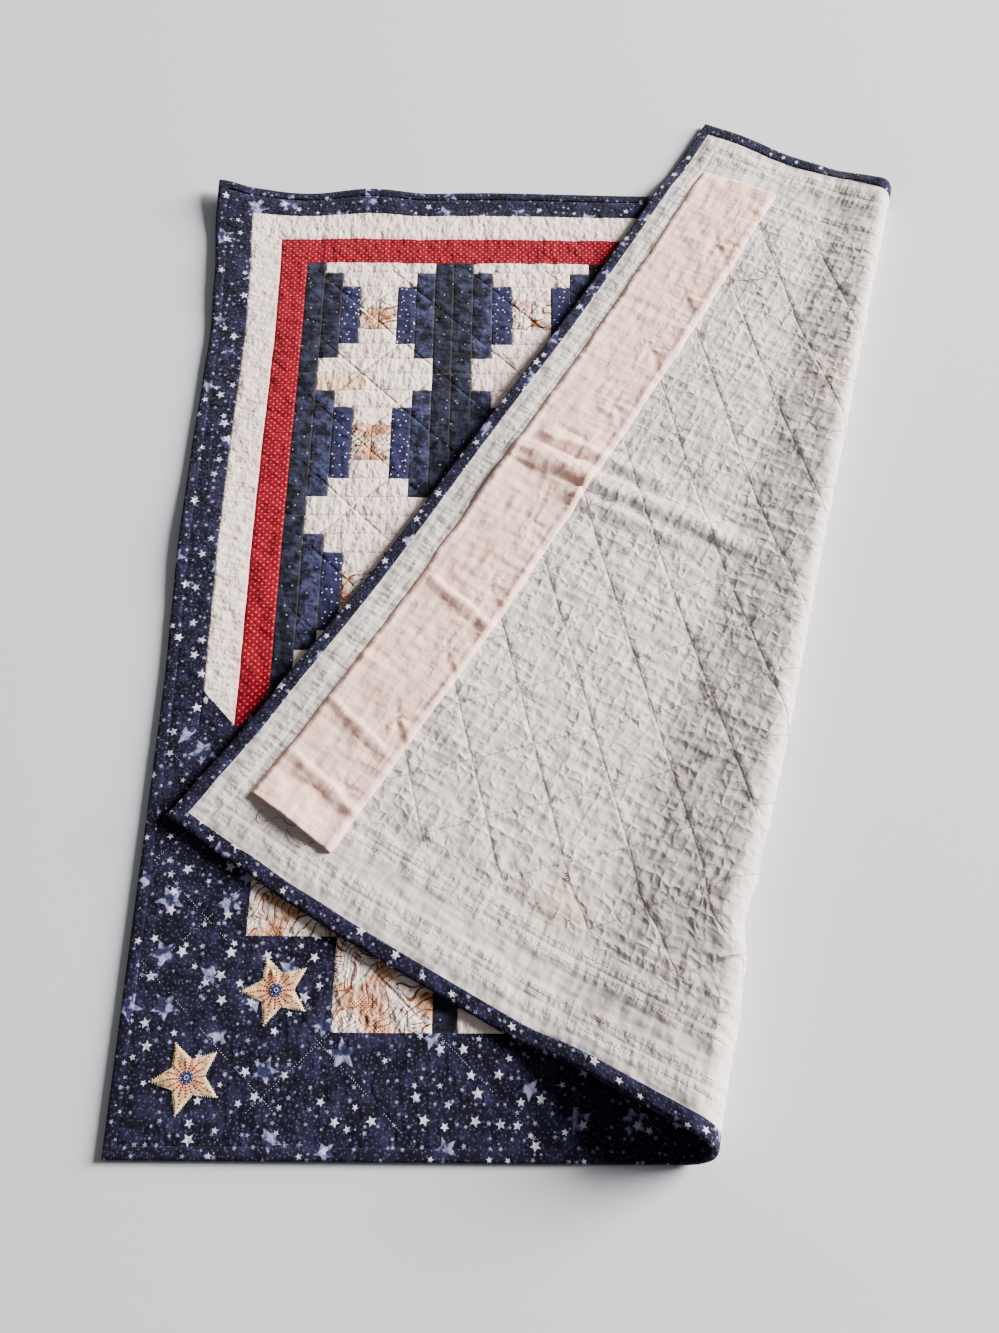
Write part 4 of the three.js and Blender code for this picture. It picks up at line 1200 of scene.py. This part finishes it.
beads = stitch_tree()
front_lines = np.concatenate([line_stitches(sign, 2.8 * MM, face_up) for sign in (1, -1)])
border_rows = np.concatenate([slanted_row(start * STRIP, sign, 3 * MM, on_border)
                              for start, sign in BORDER_SLANTS])
back_sewn = [sewn("quilting_stitches_back", line_stitches(-1, 2.8 * MM, over_fold), back_lift, -1, tan_thread,
                  2.4 * MM, 1, 0.85 * MM),
             sewn("quilting_cross_stitches_back", line_stitches(1, 2.8 * MM, over_fold), back_lift, -1,
                  orange_thread, 1.6 * MM, 2, 0.6 * MM),
             sewn("border_stitches_back", row_stitches(BORDER_ROWS, 3.2 * MM, over_fold), back_lift, -1,
                  orange_thread, 2.2 * MM, 3, 0.9 * MM, 0.2 * MM)]
front_sewn = [sewn("quilting_stitches_front", front_lines, front_lift, 1, tan_thread, 1.4 * MM, 4, 0.45 * MM),
              sewn("border_stitches_front", border_rows, front_lift, 1, white_thread, 1.2 * MM, 5, 0.5 * MM)]
star_sewn = [piece for k, star in enumerate(STARS) for piece in embroidery(k + 1, *star)]

# Loose thread ends on the back: flat turning points and their height off the cloth, in millimetres.
LOOSE_ENDS = [((1176, 66, 1), (1172, 54, 2), (1163, 58, 3), (1153, 72, 2.5), (1143, 66, 2), (1134, 71, 1)),
              ((1140, 62, 1), (1129, 58, 2.5), (1117, 56, 2.5), (1108, 67, 1)),
              ((1012, 146, 0.6), (1006, 140, 1.6), (1000, 136, 1.4), (1003, 131, 1.6), (1008, 136, 2),
               (1001, 141, 1.2), (996, 133, 0.5)),
              ((1067, 990, 0.5), (1056, 1001, 1.5), (1046, 1006, 1.8), (1032, 1012, 1.5), (1019, 1023, 0.5)),
              ((681, 167, 0.5), (671, 175, 1.5), (658, 188, 0.6))]


def loose_end(name, turns, thread):
    """A thread lying loose on the back, with its corners rounded off by cutting them three times."""
    turns = np.array(turns) * MM
    for _ in range(3):
        early, late = turns[:-1], turns[1:]
        cut = np.stack([early * 0.75 + late * 0.25, early * 0.25 + late * 0.75], 1).reshape(-1, 3)
        turns = np.concatenate([turns[:1], cut, turns[-1:]])
    s, t, height = turns.T
    return thread_tube(name, on_face(s, t, back_lift, -1, height + 0.5 * MM), 0.45 * MM, thread)


for k, turns in enumerate(LOOSE_ENDS):
    back_sewn.append(loose_end(f"loose_thread_end_{k + 1}", turns, orange_thread if k == 4 else tan_thread))

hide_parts("quilt")
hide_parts("quilt")
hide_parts("binding")
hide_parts("hanging_sleeve")
for k, star in enumerate(stars):
    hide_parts(f"applique_star_{k + 1}")
slots = [(quilt_front, "quilt"), (quilt_back, "quilt"), (binding, "binding"), (sleeve, "sleeve")]
slots += [(piece, "quilt") for piece in back_sewn + front_sewn]
slots += [(piece, "applique") for piece in stars + star_sewn]
for piece, word in slots:
    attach(piece, "root")

# The room: a matt painted floor, a large soft light from the right, and the photograph's own camera place.
floor_mesh = bpy.data.meshes.new("floor")
floor_mesh.from_pydata([(-6, -6, 0), (6, -6, 0), (6, 6, 0), (-6, 6, 0)], [], [(0, 1, 2, 3)])
floor_mesh.materials.append(plain_finish("pale grey painted floor", "#D2D3D6", 0.9, 0.5))
floor = placed("floor", floor_mesh)

lamp = bpy.data.lights.new("large window light", "AREA")
lamp.size, lamp.energy = 5.6, 8800
window = placed("large window light", lamp)
window.location = (10.7, 3.6, 4.1)
window.rotation_euler = (-window.location).to_track_quat("-Z", "Y").to_euler()
world = bpy.data.worlds.new("pale room")
world.use_nodes = True
world.node_tree.nodes["Background"].inputs["Color"].default_value = hex_colour("#E8EAEE")
world.node_tree.nodes["Background"].inputs["Strength"].default_value = 0.2
bpy.context.scene.world = world

camera = placed("camera", bpy.data.cameras.new("camera"))
camera.data.lens = 36.215
camera.data.sensor_width = 36
sight = Matrix(((0.99997, -0.00704, 0.00343), (0.00783, 0.8988, -0.4384), (0, 0.4384, 0.8988)))
camera.matrix_world = Matrix.Translation((-0.0650, -0.8335, 1.3807)) @ sight.to_4x4()
bpy.context.scene.camera = camera
